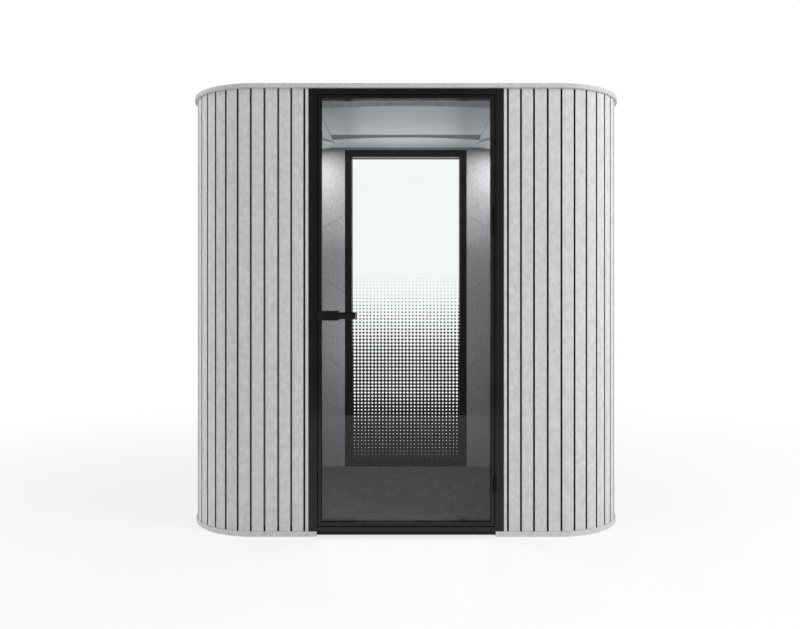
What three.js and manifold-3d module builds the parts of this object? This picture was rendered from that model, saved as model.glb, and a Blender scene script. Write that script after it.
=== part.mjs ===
// Acoustic office pod: a felt-clad booth with a glazed door, a rear window, roof fans and levelling feet.
// Millimetres, +Z up, the door faces -Y. The origin is the middle of the footprint, on the floor.
import * as THREE from "three";
import { mergeVertices } from "three/addons/utils/BufferGeometryUtils.js";
import Module from "manifold-3d";

const wasm = await Module();
wasm.setup();

// Overall size, over the faces of the slats
const podWidth = 2250;
const podDepth = 1380;
const podHeight = 2250;
const cornerRadius = 374;

// Clearances, and counts that set how fine the curves are
const seatGap = 0.3;
const cutOverrun = 1;
const shortestRun = 0.5;
const arcSteps = 18;
const roundSides = 16;
const discSides = 48;
const bowSteps = 8;

// Wall layers, from outside in: slats on a carrier sheet, core, felt lining
const wallThickness = 100;
const slatDepth = 12;
const carrierThickness = 3;
const liningThickness = 12;
const slatGap = 8;
const openingSlatPitch = 64.8;
const cornerModuleStraight = 115.5;
const cornerSlatCount = 12;
const sideSlatCount = 6;

// Floor and roof
const skirtHeight = 25;
const skirtProud = 6;
const skirtMouthLap = 39;
const deckClearance = 4;
const deckTop = 50;
const carpetThickness = 11.7;
const roofThickness = 23;
const roofOverhang = 14;

// Levelling feet
const footInsetX = 225;
const footInsetY = 240;
const footRadius = 25;
const footPlate = 6;
const footPocketMargin = 5;
const footPocketDepth = 8;
const footStemRadius = 8;
const footStemTop = 40;
const footStemRoom = 2;

// Door frame and door leaf
const frameWidth = 970;
const jambWidth = 42;
const headerHeight = 30;
const sillHeight = 22;
const stopProjection = 9.5;
const stopDrop = 9;
const doorGap = 4;
const leafSetback = 2;
const leafThickness = 44;
const leafBar = 17.5;
const gasketSpace = 4;
const gasketWidth = 4.5;
const gasketInset = 0.5;
const glassThickness = 10;
const glassBite = 9;

// Hinges, on the right-hand jamb
const upperHingeHeight = 1572;
const upperHingeLength = 152;
const lowerHingeHeight = 258;
const lowerHingeLength = 77;
const barrelRadius = 8;
const barrelStandoff = 0.5;
const hingePlateDepth = 40;
const hingePinRadius = 3;
const hingePinRoom = 0.2;
const hingePinHeadRadius = 5;
const hingePinHead = 2;
const knuckleGap = 0.5;

// Lock, levers and latch
const spindleHeight = 1097;
const spindleInset = 53;
const spindleSize = 8;
const spindleDepthInNeck = 26;
const caseWidth = 103;
const caseHeight = 48;
const caseProud = 16;
const caseEdgeInset = 1;
const innerLipWidth = 10;
const glassHoleRadius = 15;
const neckRadius = 10;
const leverReach = 138;
const leverHeight = 31;
const leverThickness = 12;
const leverStandoff = 18;
const leverEndRadius = 15;
const returnWidth = 6;
const returnHeight = 36;
const returnDepth = 34;
const boltHeight = 16;
const boltThickness = 8;
const boltProjection = 1.5;
const boltLength = 34;
const boltSkin = 3;
const boltBevel = 3;
const boltThrow = 10;
const strikeThickness = 2;
const strikeHeight = 90;
const strikeDepth = 20;
const strikeHoleMargin = 1;
const strikeHoleDepth = 10;

// Rear window
const windowWidth = 812;
const windowStile = 46;
const windowBottomRail = 82;
const windowTopRail = 100.7;
const filmThickness = 0.4;

// Ceiling
const roofSpace = 22;
const boardThickness = 9;
const panelDrop = 6;
const panelThickness = 3;
const panelShadowGap = 8;
const frontPanelHalfWidth = 462;
const panelSeam = 3;
const frontPanelSetback = 90;
const frontPanelBow = 52;
const frontPanelRear = 189;
const slotWidth = 78;
const slotBow = 75;
const hangerRadius = 8;
const hangerInset = 60;
const downlightRadius = 150;
const downlightHousingRadius = 45;
const downlightFromCorner = 141;
const downlightWallGap = 170;
const downlightProud = 16;

// Fans in the roof space, and the slots over them
const fanSpacing = 320;
const fanSetback = 100;
const fanBore = 56;
const fanWall = 19;
const fanHubRadius = 16;
const fanHubPlate = 4;
const fanSpokeWidth = 5;
const fanSpokeCount = 3;
const rotorTipGap = 3;
const rotorHubRadius = 18;
const rotorHeight = 18;
const rotorLift = 5;
const bladeCount = 7;
const bladeThickness = 2;
const bladeChord = 24;
const bladePitchDegrees = 32;
const shaftRadius = 2;
const outletSlotCount = 7;
const outletSlotWidth = 7;
const outletSlotPitch = 14;

// Power inlet on the rear wall
const inletFromCorner = 61;
const inletHeight = 120;
const inletFlangeWidth = 56;
const inletFlangeHeight = 38;
const inletFlange = 3;
const inletBodyWidth = 44;
const inletBodyHeight = 26;
const inletBodyDepth = 28;
const inletCavityWidth = 28;
const inletCavityHeight = 20;
const inletCavityDepth = 16;
const inletPinLength = 10;
const inletPinWidth = 4;
const inletPinThickness = 2;
const inletPinSpacing = 7;

// Planes that several pieces share
const slatFaceX = podWidth / 2;
const slatFaceY = podDepth / 2;
const flatX = slatFaceX - cornerRadius;
const flatY = slatFaceY - cornerRadius;
const arcLength = (cornerRadius * Math.PI) / 2;
const quarterLength = flatX + arcLength + flatY;
const insideY = slatFaceY - wallThickness;
const inletX = flatX - inletFromCorner;
const downlightX = flatX - downlightFromCorner;
const claddingDepth = slatDepth + carrierThickness;
const roofUnderside = podHeight - roofThickness;
const wallTop = roofUnderside - seatGap;
const carpetTop = deckTop + seatGap + carpetThickness;
const frameHalf = frameWidth / 2;
const jambInner = frameHalf - jambWidth;
const stopInner = jambInner - stopProjection;
const windowHalf = windowWidth / 2;
const sillTop = skirtHeight + sillHeight;
const headerUnderside = wallTop - headerHeight;
const leafFront = -slatFaceY + leafSetback;
const leafBack = leafFront + leafThickness;
const leafMiddle = (leafFront + leafBack) / 2;
const leafHalf = jambInner - doorGap;
const leafBottom = sillTop + doorGap;
const leafTop = headerUnderside - doorGap;
const sightHalf = leafHalf - leafBar;
const stopFront = leafBack + gasketSpace;
const boardTop = roofUnderside - roofSpace;
const boardUnderside = boardTop - boardThickness;
const panelTop = boardUnderside - panelDrop;
const panelUnderside = panelTop - panelThickness;

// Materials, by finish
function finish(color, roughness, metalness, extra = {}) {
  return new THREE.MeshStandardMaterial({ color, roughness, metalness, ...extra });
}
const paleFelt = finish(0xc6c6c6, 0.95, 0);
const darkFelt = finish(0x6e6e70, 0.95, 0);
const carpetPile = finish(0x46474a, 1, 0);
const blackSteel = finish(0x1d1d1e, 0.45, 0.3);
const coreBoard = finish(0x8f8a80, 0.9, 0);
const deckBoard = finish(0x202021, 0.7, 0);
const satinPanel = finish(0x979da0, 0.4, 0.2);
const zincSteel = finish(0xa8aaad, 0.35, 0.9);
const blackRubber = finish(0x141414, 0.8, 0);
const blackPlastic = finish(0x18181a, 0.5, 0);
const paneGlass = finish(0xdfe8ea, 0.05, 0, { transparent: true, opacity: 0.25 });
const printedFilm = finish(0xf0f2f2, 0.3, 0, { transparent: true, opacity: 0.5 });
const lampWhite = finish(0xf4f4ee, 0.4, 0);

const group = new THREE.Group();

function add(name, geometry, material) {
  const mesh = new THREE.Mesh(geometry, material);
  mesh.name = name;
  group.add(mesh);
}

// Closed mesh to solid, and back
function solid(geometry) {
  const bare = geometry.clone();
  bare.deleteAttribute("normal");
  bare.deleteAttribute("uv");
  const merged = mergeVertices(bare);
  const vertProperties = new Float32Array(merged.attributes.position.array);
  const triVerts = new Uint32Array(merged.index.array);
  return new wasm.Manifold(new wasm.Mesh({ numProp: 3, vertProperties, triVerts }));
}

function geometryOf(body) {
  const mesh = body.getMesh();
  const geometry = new THREE.BufferGeometry();
  geometry.setAttribute("position", new THREE.BufferAttribute(mesh.vertProperties, mesh.numProp));
  geometry.setIndex(new THREE.BufferAttribute(mesh.triVerts, 1));
  geometry.computeVertexNormals();
  return geometry;
}

function cut(geometry, ...tools) {
  return geometryOf(tools.reduce((body, tool) => body.subtract(solid(tool)), solid(geometry)));
}

function join(geometry, ...others) {
  return geometryOf(others.reduce((body, other) => body.add(solid(other)), solid(geometry)));
}

// Basic forms, each given by where its faces lie
function block([x0, x1], [y0, y1], [z0, z1]) {
  const box = new THREE.BoxGeometry(x1 - x0, y1 - y0, z1 - z0);
  return box.translate((x0 + x1) / 2, (y0 + y1) / 2, (z0 + z1) / 2);
}

function shapeOf(points) {
  return new THREE.Shape(points.map(([u, v]) => new THREE.Vector2(u, v)));
}

// An outline in plan, raised from z0 to z1
function prismZ(points, [z0, z1]) {
  const options = { depth: z1 - z0, bevelEnabled: false };
  return new THREE.ExtrudeGeometry(shapeOf(points), options).translate(0, 0, z0);
}

// An outline in the YZ plane, run from x0 to x1
function prismX(points, [x0, x1]) {
  const options = { depth: x1 - x0, bevelEnabled: false };
  const made = new THREE.ExtrudeGeometry(shapeOf(points), options);
  return made.rotateX(Math.PI / 2).rotateZ(Math.PI / 2).translate(x0, 0, 0);
}

// An outline in the XZ plane, run from y0 to y1
function prismY(points, [y0, y1]) {
  const options = { depth: y1 - y0, bevelEnabled: false };
  return new THREE.ExtrudeGeometry(shapeOf(points), options).rotateX(Math.PI / 2).translate(0, y1, 0);
}

function rodZ(radius, x, y, [z0, z1], sides = roundSides) {
  const rod = new THREE.CylinderGeometry(radius, radius, z1 - z0, sides);
  return rod.rotateX(Math.PI / 2).translate(x, y, (z0 + z1) / 2);
}

function rodY(radius, x, z, [y0, y1]) {
  const rod = new THREE.CylinderGeometry(radius, radius, y1 - y0, roundSides);
  return rod.translate(x, (y0 + y1) / 2, z);
}

// A profile of [radius, height] points, from the axis back to the axis, turned about a vertical line
function turned(profile, x, y, sides = roundSides) {
  const points = profile.map(([r, z]) => new THREE.Vector2(r, z));
  return new THREE.LatheGeometry(points, sides).rotateX(Math.PI / 2).translate(x, y, 0);
}

function mirrored(points, signX, signY) {
  return points.map(([x, y]) => [signX * x, signY * y]);
}

// The wall in plan, one quarter of it. A place on it is its distance round the slat faces from the middle
// of the front or rear, and its inset from them.
function wallPoint(along, inset) {
  if (along <= flatX) {
    return [along, slatFaceY - inset];
  }
  if (along < flatX + arcLength) {
    const angle = (along - flatX) / cornerRadius;
    const radius = cornerRadius - inset;
    return [flatX + radius * Math.sin(angle), flatY + radius * Math.cos(angle)];
  }
  return [slatFaceX - inset, flatY - (along - flatX - arcLength)];
}

const arcStops = Array.from({ length: arcSteps + 1 }, (_, i) => flatX + (arcLength * i) / arcSteps);

function wallRun(from, to, inset) {
  const between = arcStops.filter((stop) => stop > from + shortestRun && stop < to - shortestRun);
  return [from, ...between, to].map((stop) => wallPoint(stop, inset));
}

// The whole rounded outline at an inset
function wallRing(inset) {
  const arc = arcStops.map((stop) => wallPoint(stop, inset));
  const back = [...arc].reverse();
  return [...arc, ...mirrored(back, 1, -1), ...mirrored(arc, -1, -1), ...mirrored(back, -1, 1)];
}

// The right-hand half of the wall, from a place on the front to a place on the rear
function sideRun(frontFrom, rearFrom, inset) {
  const front = mirrored(wallRun(frontFrom, quarterLength, inset), 1, -1);
  const rear = wallRun(rearFrom, quarterLength, inset).reverse();
  return [...front.slice(0, -1), ...rear.slice(1)];
}

// Wall modules. Each corner module runs from its opening round the corner, and a side panel fills between.
const cornerStart = flatX - cornerModuleStraight;
const cornerEnd = flatX + arcLength + cornerModuleStraight;
const cornerPitch = (cornerEnd - cornerStart) / cornerSlatCount;
const sideHalf = quarterLength - cornerEnd;
const sidePitch = (2 * sideHalf) / sideSlatCount;

// Groove centres from the opening to the corner: the run beside an opening keeps its own pitch, and its
// last slat is trimmed to fit.
function cornerGrooves(openingHalf) {
  const beside = [];
  for (let at = cornerStart; at > openingHalf + slatGap; at -= openingSlatPitch) {
    beside.unshift(at);
  }
  const round = Array.from({ length: cornerSlatCount - 1 }, (_, i) => cornerStart + cornerPitch * (i + 1));
  return [...beside, ...round];
}

// Slats on their carrier, with a full groove at each listed place and half a groove at the far end
function corneredSlats(from, to, grooves) {
  const face = [];
  let at = from;
  for (const groove of grooves) {
    face.push(...wallRun(at, groove - slatGap / 2, 0));
    face.push(wallPoint(groove - slatGap / 2, slatDepth), wallPoint(groove + slatGap / 2, slatDepth));
    at = groove + slatGap / 2;
  }
  face.push(...wallRun(at, to - slatGap / 2, 0));
  face.push(wallPoint(to - slatGap / 2, slatDepth), wallPoint(to, slatDepth));
  return [...face, ...wallRun(from, to, claddingDepth).reverse()];
}

function layer(from, to, outer, inner) {
  return [...wallRun(from, to, outer), ...wallRun(from, to, inner).reverse()];
}

const coreOuter = claddingDepth + seatGap;
const coreInner = wallThickness - liningThickness - seatGap;
const claddingHeights = [skirtHeight + seatGap, wallTop];
const wallHeights = [deckTop + seatGap, wallTop];

// The recess that takes the power inlet, through the slats and into the core
function inletRecess() {
  const halfWidth = inletBodyWidth / 2 + seatGap;
  const halfHeight = inletBodyHeight / 2 + seatGap;
  const deep = slatFaceY - inletBodyDepth - seatGap;
  return block(
    [inletX - halfWidth, inletX + halfWidth],
    [deep, slatFaceY + cutOverrun],
    [inletHeight - halfHeight, inletHeight + halfHeight],
  );
}

function cornerModule(place, signX, signY, openingHalf, recess) {
  const from = openingHalf + seatGap;
  const to = cornerEnd - seatGap / 2;
  const slats = mirrored(corneredSlats(from, to, cornerGrooves(openingHalf)), signX, signY);
  const core = mirrored(layer(from, to, coreOuter, coreInner), signX, signY);
  const cladding = prismZ(slats, claddingHeights);
  const filling = prismZ(core, wallHeights);
  add(`cladding_${place}`, recess ? cut(cladding, recess) : cladding, paleFelt);
  add(`core_${place}`, recess ? cut(filling, recess) : filling, coreBoard);
}

cornerModule("front_left", -1, -1, frameHalf, null);
cornerModule("front_right", 1, -1, frameHalf, null);
cornerModule("rear_left", -1, 1, windowHalf, null);
cornerModule("rear_right", 1, 1, windowHalf, inletRecess());

function sideModule(place, signX) {
  const half = sideHalf - seatGap / 2;
  const outline = [[slatFaceX - slatDepth, -half]];
  for (let slat = 0; slat < sideSlatCount; slat += 1) {
    const start = -sideHalf + slat * sidePitch + slatGap / 2;
    const end = start + sidePitch - slatGap;
    outline.push([slatFaceX - slatDepth, start], [slatFaceX, start]);
    outline.push([slatFaceX, end], [slatFaceX - slatDepth, end]);
  }
  outline.push([slatFaceX - slatDepth, half]);
  outline.push([slatFaceX - claddingDepth, half], [slatFaceX - claddingDepth, -half]);
  add(`cladding_${place}`, prismZ(mirrored(outline, signX, 1), claddingHeights), paleFelt);
  const faces = [signX * (slatFaceX - coreOuter), signX * (slatFaceX - coreInner)].sort((a, b) => a - b);
  add(`core_${place}`, block(faces, [-half, half], wallHeights), coreBoard);
}

sideModule("left", -1);
sideModule("right", 1);

// Felt linings, each one bent sheet from the door to the window
function lining(place, signX) {
  const outer = sideRun(frameHalf + seatGap, windowHalf + seatGap, wallThickness - liningThickness);
  const inner = sideRun(frameHalf + seatGap, windowHalf + seatGap, wallThickness);
  add(`lining_${place}`, prismZ(mirrored([...outer, ...inner.reverse()], signX, 1), wallHeights), darkFelt);
}

lining("left", -1);
lining("right", 1);

// Base: skirt, deck with a rebate for each frame and a socket for each foot, carpet, feet
function baseSkirt() {
  const mouth = frameHalf - skirtMouthLap;
  const outer = sideRun(mouth, 0, -skirtProud);
  const inner = sideRun(mouth, 0, claddingDepth);
  const round = [...outer, ...mirrored(outer, -1, 1).reverse().slice(1)];
  const within = [...inner, ...mirrored(inner, -1, 1).reverse().slice(1)];
  add("base_skirt", prismZ([...round, ...within.reverse()], [0, skirtHeight - seatGap]), paleFelt);
}

const footPlaces = [
  ["front_left", -1, -1],
  ["front_right", 1, -1],
  ["rear_left", -1, 1],
  ["rear_right", 1, 1],
].map(([place, signX, signY]) => [place, signX * (slatFaceX - footInsetX), signY * (slatFaceY - footInsetY)]);

function floorDeck() {
  const under = deckClearance - cutOverrun;
  const sockets = footPlaces.flatMap(([, x, y]) => [
    rodZ(footRadius + footPocketMargin, x, y, [under, deckClearance + footPocketDepth]),
    rodZ(footStemRadius + seatGap, x, y, [under, footStemTop + footStemRoom]),
  ]);
  const rebateFloor = skirtHeight - seatGap;
  const rebateBack = insideY - seatGap;
  const rebateTop = deckTop + cutOverrun;
  const doorRebate = block(
    [-frameHalf - seatGap, frameHalf + seatGap],
    [-slatFaceY, -rebateBack],
    [rebateFloor, rebateTop],
  );
  const windowRebate = block(
    [-windowHalf - seatGap, windowHalf + seatGap],
    [rebateBack, slatFaceY],
    [rebateFloor, rebateTop],
  );
  const slab = prismZ(wallRing(coreOuter), [deckClearance, deckTop]);
  add("floor_deck", cut(slab, doorRebate, windowRebate, ...sockets), deckBoard);
}

baseSkirt();
floorDeck();
add("carpet", prismZ(wallRing(wallThickness + seatGap), [deckTop + seatGap, carpetTop]), carpetPile);

for (const [place, x, y] of footPlaces) {
  const profile = [
    [0, 0],
    [footRadius, 0],
    [footRadius, footPlate],
    [footStemRadius, footPlate],
    [footStemRadius, footStemTop],
    [0, footStemTop],
  ];
  add(`foot_${place}`, turned(profile, x, y), zincSteel);
}

// Door frame: two jambs with the strike plate let into the left one, header and sill between them
const spindleX = -leafHalf + spindleInset;
const boltFront = leafFront + boltSkin;
const boltBack = boltFront + boltThickness;
const boltHeights = [spindleHeight - boltHeight / 2, spindleHeight + boltHeight / 2];

function grown([low, high], by) {
  return [low - by, high + by];
}

function jamb(signX) {
  const outline = [
    [frameHalf, -slatFaceY],
    [frameHalf, -insideY],
    [stopInner, -insideY],
    [stopInner, stopFront],
    [jambInner, stopFront],
    [jambInner, -slatFaceY],
  ];
  return prismZ(mirrored(outline, signX, 1), [skirtHeight, wallTop]);
}

const strikeY = [leafFront, leafFront + strikeDepth];
const strikeZ = [spindleHeight - strikeHeight / 2, spindleHeight + strikeHeight / 2];
const boltHoleY = grown([boltFront, boltBack], strikeHoleMargin);
const boltHoleZ = grown(boltHeights, strikeHoleMargin);
const strikePocket = block(
  [-jambInner - strikeThickness - seatGap, -jambInner + cutOverrun],
  grown(strikeY, seatGap),
  grown(strikeZ, seatGap),
);
const boltHole = block([-jambInner - strikeHoleDepth, -jambInner + cutOverrun], boltHoleY, boltHoleZ);
const strike = block([-jambInner - strikeThickness, -jambInner], strikeY, strikeZ);
add("jamb_latch_side", cut(jamb(-1), strikePocket, boltHole), blackSteel);
add("jamb_hinge_side", jamb(1), blackSteel);
add("strike_plate", cut(strike, boltHole), zincSteel);

// A frame bar between the jambs: its full depth fits between the stops, and its front part between the jambs
function crossBar([low, high], stopEdge) {
  const inner = stopInner - seatGap;
  const front = block(
    [-jambInner + seatGap, jambInner - seatGap],
    [-slatFaceY, stopFront - seatGap],
    [low, high],
  );
  const whole = block([-inner, inner], [-slatFaceY, -insideY], [low, high]);
  const stop = block([-inner, inner], [stopFront, -insideY], [Math.min(low, stopEdge), Math.max(high, stopEdge)]);
  return join(whole, front, stop);
}

add("door_header", crossBar([headerUnderside, wallTop], headerUnderside - stopDrop), blackSteel);
add("door_sill", crossBar([skirtHeight, sillTop], carpetTop), blackSteel);

function doorGasket() {
  const outer = leafHalf - gasketInset;
  const low = leafBottom + gasketInset;
  const high = leafTop - gasketInset;
  const thick = [leafBack + seatGap, stopFront - seatGap];
  const inner = outer - gasketWidth;
  const ring = block([-outer, outer], thick, [low, high]);
  const opening = block([-inner, inner], grown(thick, cutOverrun), [low + gasketWidth, high - gasketWidth]);
  add("door_gasket", cut(ring, opening), blackRubber);
}

doorGasket();

// Grooved bars hold a pane by its edge: in plan for a stile, and in the YZ plane for a rail
function groovedBar(edge, sight, front, back, middle) {
  const floor = sight + Math.sign(edge - sight) * (glassBite + seatGap);
  const half = glassThickness / 2 + seatGap;
  return [
    [edge, front],
    [edge, back],
    [sight, back],
    [sight, middle + half],
    [floor, middle + half],
    [floor, middle - half],
    [sight, middle - half],
    [sight, front],
  ];
}

function turnedOver(points) {
  return points.map(([u, v]) => [v, u]);
}

// Door leaf
const leafStile = groovedBar(leafHalf, sightHalf, leafFront, leafBack, leafMiddle);
const leafHeights = [leafBottom, leafTop];
const boltPassage = block(
  [-leafHalf - cutOverrun, -sightHalf + cutOverrun],
  grown([boltFront, boltBack], seatGap),
  grown(boltHeights, seatGap),
);
add("leaf_stile_latch", cut(prismZ(mirrored(leafStile, -1, 1), leafHeights), boltPassage), blackSteel);
add("leaf_stile_hinge", prismZ(leafStile, leafHeights), blackSteel);

function leafRail(edge, sight) {
  const outline = turnedOver(groovedBar(edge, sight, leafFront, leafBack, leafMiddle));
  return prismX(outline, [-sightHalf + seatGap, sightHalf - seatGap]);
}

const sightBottom = leafBottom + leafBar;
const sightTop = leafTop - leafBar;
add("leaf_rail_bottom", leafRail(leafBottom, sightBottom), blackSteel);
add("leaf_rail_top", leafRail(leafTop, sightTop), blackSteel);

const paneY = [leafMiddle - glassThickness / 2, leafMiddle + glassThickness / 2];
const doorPane = block(
  grown([-sightHalf, sightHalf], glassBite),
  paneY,
  grown([sightBottom, sightTop], glassBite),
);
const spindleHole = rodY(glassHoleRadius, spindleX, spindleHeight, grown(paneY, cutOverrun));
add("door_glass", cut(doorPane, spindleHole), paneGlass);

// Hinges: the plates lie in the gap between leaf and jamb, the barrel stands in front of it
const hingeX = (leafHalf + jambInner) / 2;
const hingeY = -slatFaceY - barrelStandoff - barrelRadius;

function hingeHalf(plateX, knuckleZ, fullZ) {
  const plate = block(plateX, [-slatFaceY, -slatFaceY + hingePlateDepth], fullZ);
  const bridge = block(plateX, [hingeY, -slatFaceY + cutOverrun], knuckleZ);
  const barrel = rodZ(barrelRadius, hingeX, hingeY, knuckleZ);
  const bore = rodZ(hingePinRadius + hingePinRoom, hingeX, hingeY, grown(fullZ, cutOverrun));
  return cut(join(plate, bridge, barrel), bore);
}

function hinge(place, middle, length) {
  const fullZ = [middle - length / 2, middle + length / 2];
  const frameX = [hingeX + seatGap, jambInner - seatGap];
  const doorX = [leafHalf + seatGap, hingeX - seatGap];
  const lowKnuckle = [fullZ[0], middle - knuckleGap / 2];
  const highKnuckle = [middle + knuckleGap / 2, fullZ[1]];
  const pin = [
    [0, fullZ[0] - seatGap - hingePinHead],
    [hingePinHeadRadius, fullZ[0] - seatGap - hingePinHead],
    [hingePinHeadRadius, fullZ[0] - seatGap],
    [hingePinRadius, fullZ[0] - seatGap],
    [hingePinRadius, fullZ[1]],
    [0, fullZ[1]],
  ];
  add(`hinge_${place}_frame_plate`, hingeHalf(frameX, lowKnuckle, fullZ), blackSteel);
  add(`hinge_${place}_door_plate`, hingeHalf(doorX, highKnuckle, fullZ), blackSteel);
  add(`hinge_${place}_pin`, turned(pin, hingeX, hingeY), zincSteel);
}

hinge("upper", upperHingeHeight, upperHingeLength);
hinge("lower", lowerHingeHeight, lowerHingeLength);

// Lock: a case half on each side of the pane, lapped over the stile, with the bolt's channel in the outer one
const caseZ = [spindleHeight - caseHeight / 2, spindleHeight + caseHeight / 2];
const caseLeft = -leafHalf + caseEdgeInset;
const caseRight = caseLeft + caseWidth;
const caseFront = leafFront - caseProud;
const caseBack = leafBack + caseProud;
const neckBore = (y) => rodY(neckRadius + seatGap, spindleX, spindleHeight, grown(y, cutOverrun));
const outerCase = [
  [caseLeft, leafFront - seatGap],
  [caseLeft, caseFront],
  [caseRight, caseFront],
  [caseRight, paneY[0] - seatGap],
  [-sightHalf + seatGap, paneY[0] - seatGap],
  [-sightHalf + seatGap, leafFront - seatGap],
];
const innerCase = [
  [-sightHalf - innerLipWidth, leafBack + seatGap],
  [-sightHalf - innerLipWidth, caseBack],
  [caseRight, caseBack],
  [caseRight, paneY[1] + seatGap],
  [-sightHalf + seatGap, paneY[1] + seatGap],
  [-sightHalf + seatGap, leafBack + seatGap],
];
const boltLeft = -leafHalf - boltProjection;
const boltRight = boltLeft + boltLength;
const boltChannel = block(
  [-sightHalf - cutOverrun, boltRight + boltThrow + seatGap],
  grown([boltFront, boltBack], seatGap),
  grown(boltHeights, seatGap),
);
const outerBore = neckBore([caseFront, paneY[0]]);
add("lock_case_outer", cut(prismZ(outerCase, caseZ), outerBore, boltChannel), blackPlastic);
add("lock_case_inner", cut(prismZ(innerCase, caseZ), neckBore([paneY[1], caseBack])), blackPlastic);

// The bolt's nose is bevelled on the side that meets the strike as the door shuts
const bolt = [
  [boltLeft + boltBevel, boltBack],
  [boltRight, boltBack],
  [boltRight, boltFront],
  [boltLeft, boltFront],
  [boltLeft, boltBack - boltBevel],
];
add("latch_bolt", prismZ(bolt, boltHeights), zincSteel);

// Levers: a grip bar with a rounded root, a return at its end, and a neck that takes the square spindle
function leverGrip() {
  const half = leverHeight / 2;
  const end = spindleX + leverReach;
  const outline = new THREE.Shape();
  outline.moveTo(spindleX, half);
  outline.absarc(spindleX, 0, half, Math.PI / 2, (3 * Math.PI) / 2, false);
  outline.lineTo(end - leverEndRadius, -half);
  outline.absarc(end - leverEndRadius, -half + leverEndRadius, leverEndRadius, -Math.PI / 2, 0, false);
  outline.lineTo(end, half);
  return outline.getPoints(bowSteps).map(({ x, y }) => [x, y]);
}

function lever(side) {
  const face = side < 0 ? caseFront : caseBack;
  const pane = side < 0 ? paneY[0] : paneY[1];
  const back = face + side * leverStandoff;
  const front = back + side * leverThickness;
  const span = (a, b) => [Math.min(a, b), Math.max(a, b)];
  const end = spindleX + leverReach;
  const bar = prismY(leverGrip(), span(back, front)).translate(0, 0, spindleHeight);
  const tip = block(
    [end - returnWidth, end],
    span(front, front - side * returnDepth),
    [spindleHeight - returnHeight / 2, spindleHeight + returnHeight / 2],
  );
  const neckStart = pane + side * seatGap;
  const neck = rodY(neckRadius, spindleX, spindleHeight, span(neckStart, back + side * cutOverrun));
  const half = spindleSize / 2 + seatGap;
  const socket = block(
    [spindleX - half, spindleX + half],
    span(neckStart - side * cutOverrun, neckStart + side * (spindleDepthInNeck + seatGap)),
    [spindleHeight - half, spindleHeight + half],
  );
  return cut(join(bar, tip, neck), socket);
}

add("lever_outer", lever(-1), blackSteel);
add("lever_inner", lever(1), blackSteel);
const spindleHalf = spindleSize / 2;
const spindle = block(
  [spindleX - spindleHalf, spindleX + spindleHalf],
  grown(paneY, spindleDepthInNeck + seatGap),
  [spindleHeight - spindleHalf, spindleHeight + spindleHalf],
);
add("lock_spindle", spindle, zincSteel);

// Rear window: stiles and rails fill the wall's depth, the pane sits mid-way, the film on its inner face
const windowMiddle = (slatFaceY + insideY) / 2;
const windowSight = windowHalf - windowStile;
const windowSightBottom = skirtHeight + windowBottomRail;
const windowSightTop = wallTop - windowTopRail;
const windowStileOutline = groovedBar(windowHalf, windowSight, insideY, slatFaceY, windowMiddle);
const windowHeights = [skirtHeight, wallTop];
add("window_stile_left", prismZ(mirrored(windowStileOutline, -1, 1), windowHeights), blackSteel);
add("window_stile_right", prismZ(windowStileOutline, windowHeights), blackSteel);

function windowRail(edge, sight) {
  const outline = turnedOver(groovedBar(edge, sight, insideY, slatFaceY, windowMiddle));
  return prismX(outline, [-windowSight + seatGap, windowSight - seatGap]);
}

add("window_rail_bottom", windowRail(skirtHeight, windowSightBottom), blackSteel);
add("window_rail_top", windowRail(wallTop, windowSightTop), blackSteel);
const windowPaneFront = windowMiddle - glassThickness / 2;
const windowPane = block(
  grown([-windowSight, windowSight], glassBite),
  [windowPaneFront, windowPaneFront + glassThickness],
  grown([windowSightBottom, windowSightTop], glassBite),
);
add("window_glass", windowPane, paneGlass);
const film = block(
  grown([-windowSight, windowSight], -seatGap),
  [windowPaneFront - seatGap - filmThickness, windowPaneFront - seatGap],
  grown([windowSightBottom, windowSightTop], -seatGap),
);
add("privacy_film", film, printedFilm);

// Roof panel with slotted outlets over the fans
const fanPlaces = [
  ["left", -fanSpacing / 2],
  ["right", fanSpacing / 2],
];

function outletSlots() {
  const reach = ((outletSlotCount - 1) / 2) * outletSlotPitch;
  return fanPlaces.flatMap(([, x]) =>
    Array.from({ length: outletSlotCount }, (_, i) => {
      const offset = -reach + i * outletSlotPitch;
      const half = Math.sqrt(fanBore ** 2 - offset ** 2);
      const middle = x + offset;
      return block(
        grown([middle, middle], outletSlotWidth / 2),
        [-fanSetback - half, -fanSetback + half],
        grown([roofUnderside, podHeight], cutOverrun),
      );
    }),
  );
}

const roofSlab = prismZ(wallRing(-roofOverhang), [roofUnderside, podHeight]);
add("roof_panel", cut(roofSlab, ...outletSlots()), paleFelt);

// Ceiling board, hung from the roof panel by bosses, with the fan tray let into it
const trayHalfX = fanSpacing / 2 + fanBore + fanWall;
const trayHalfY = fanBore + fanWall;
const trayY = [-fanSetback - trayHalfY, -fanSetback + trayHalfY];

function hangers(places, heights) {
  return places.map(([x, y]) => rodZ(hangerRadius, x, y, heights));
}

const insideX = slatFaceX - wallThickness;
const farX = insideX - hangerInset;
const boardHangers = [-flatX, 0, flatX].flatMap((x) => [-1, 1].map((side) => [x, side * (insideY - hangerInset)]));
const trayHole = block(
  grown([-trayHalfX, trayHalfX], seatGap),
  grown(trayY, seatGap),
  grown([boardUnderside, boardTop], cutOverrun),
);
const board = prismZ(wallRing(wallThickness + seatGap), [boardUnderside, boardTop]);
add("ceiling_board", cut(join(board, ...hangers(boardHangers, [boardUnderside, wallTop])), trayHole), darkFelt);

// Front ceiling panel, its front edge bowed
function bow(half, middleY, endY) {
  return Array.from({ length: 2 * bowSteps + 1 }, (_, i) => {
    const share = i / bowSteps - 1;
    return [share * half, middleY + (endY - middleY) * share * share];
  });
}

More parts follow.
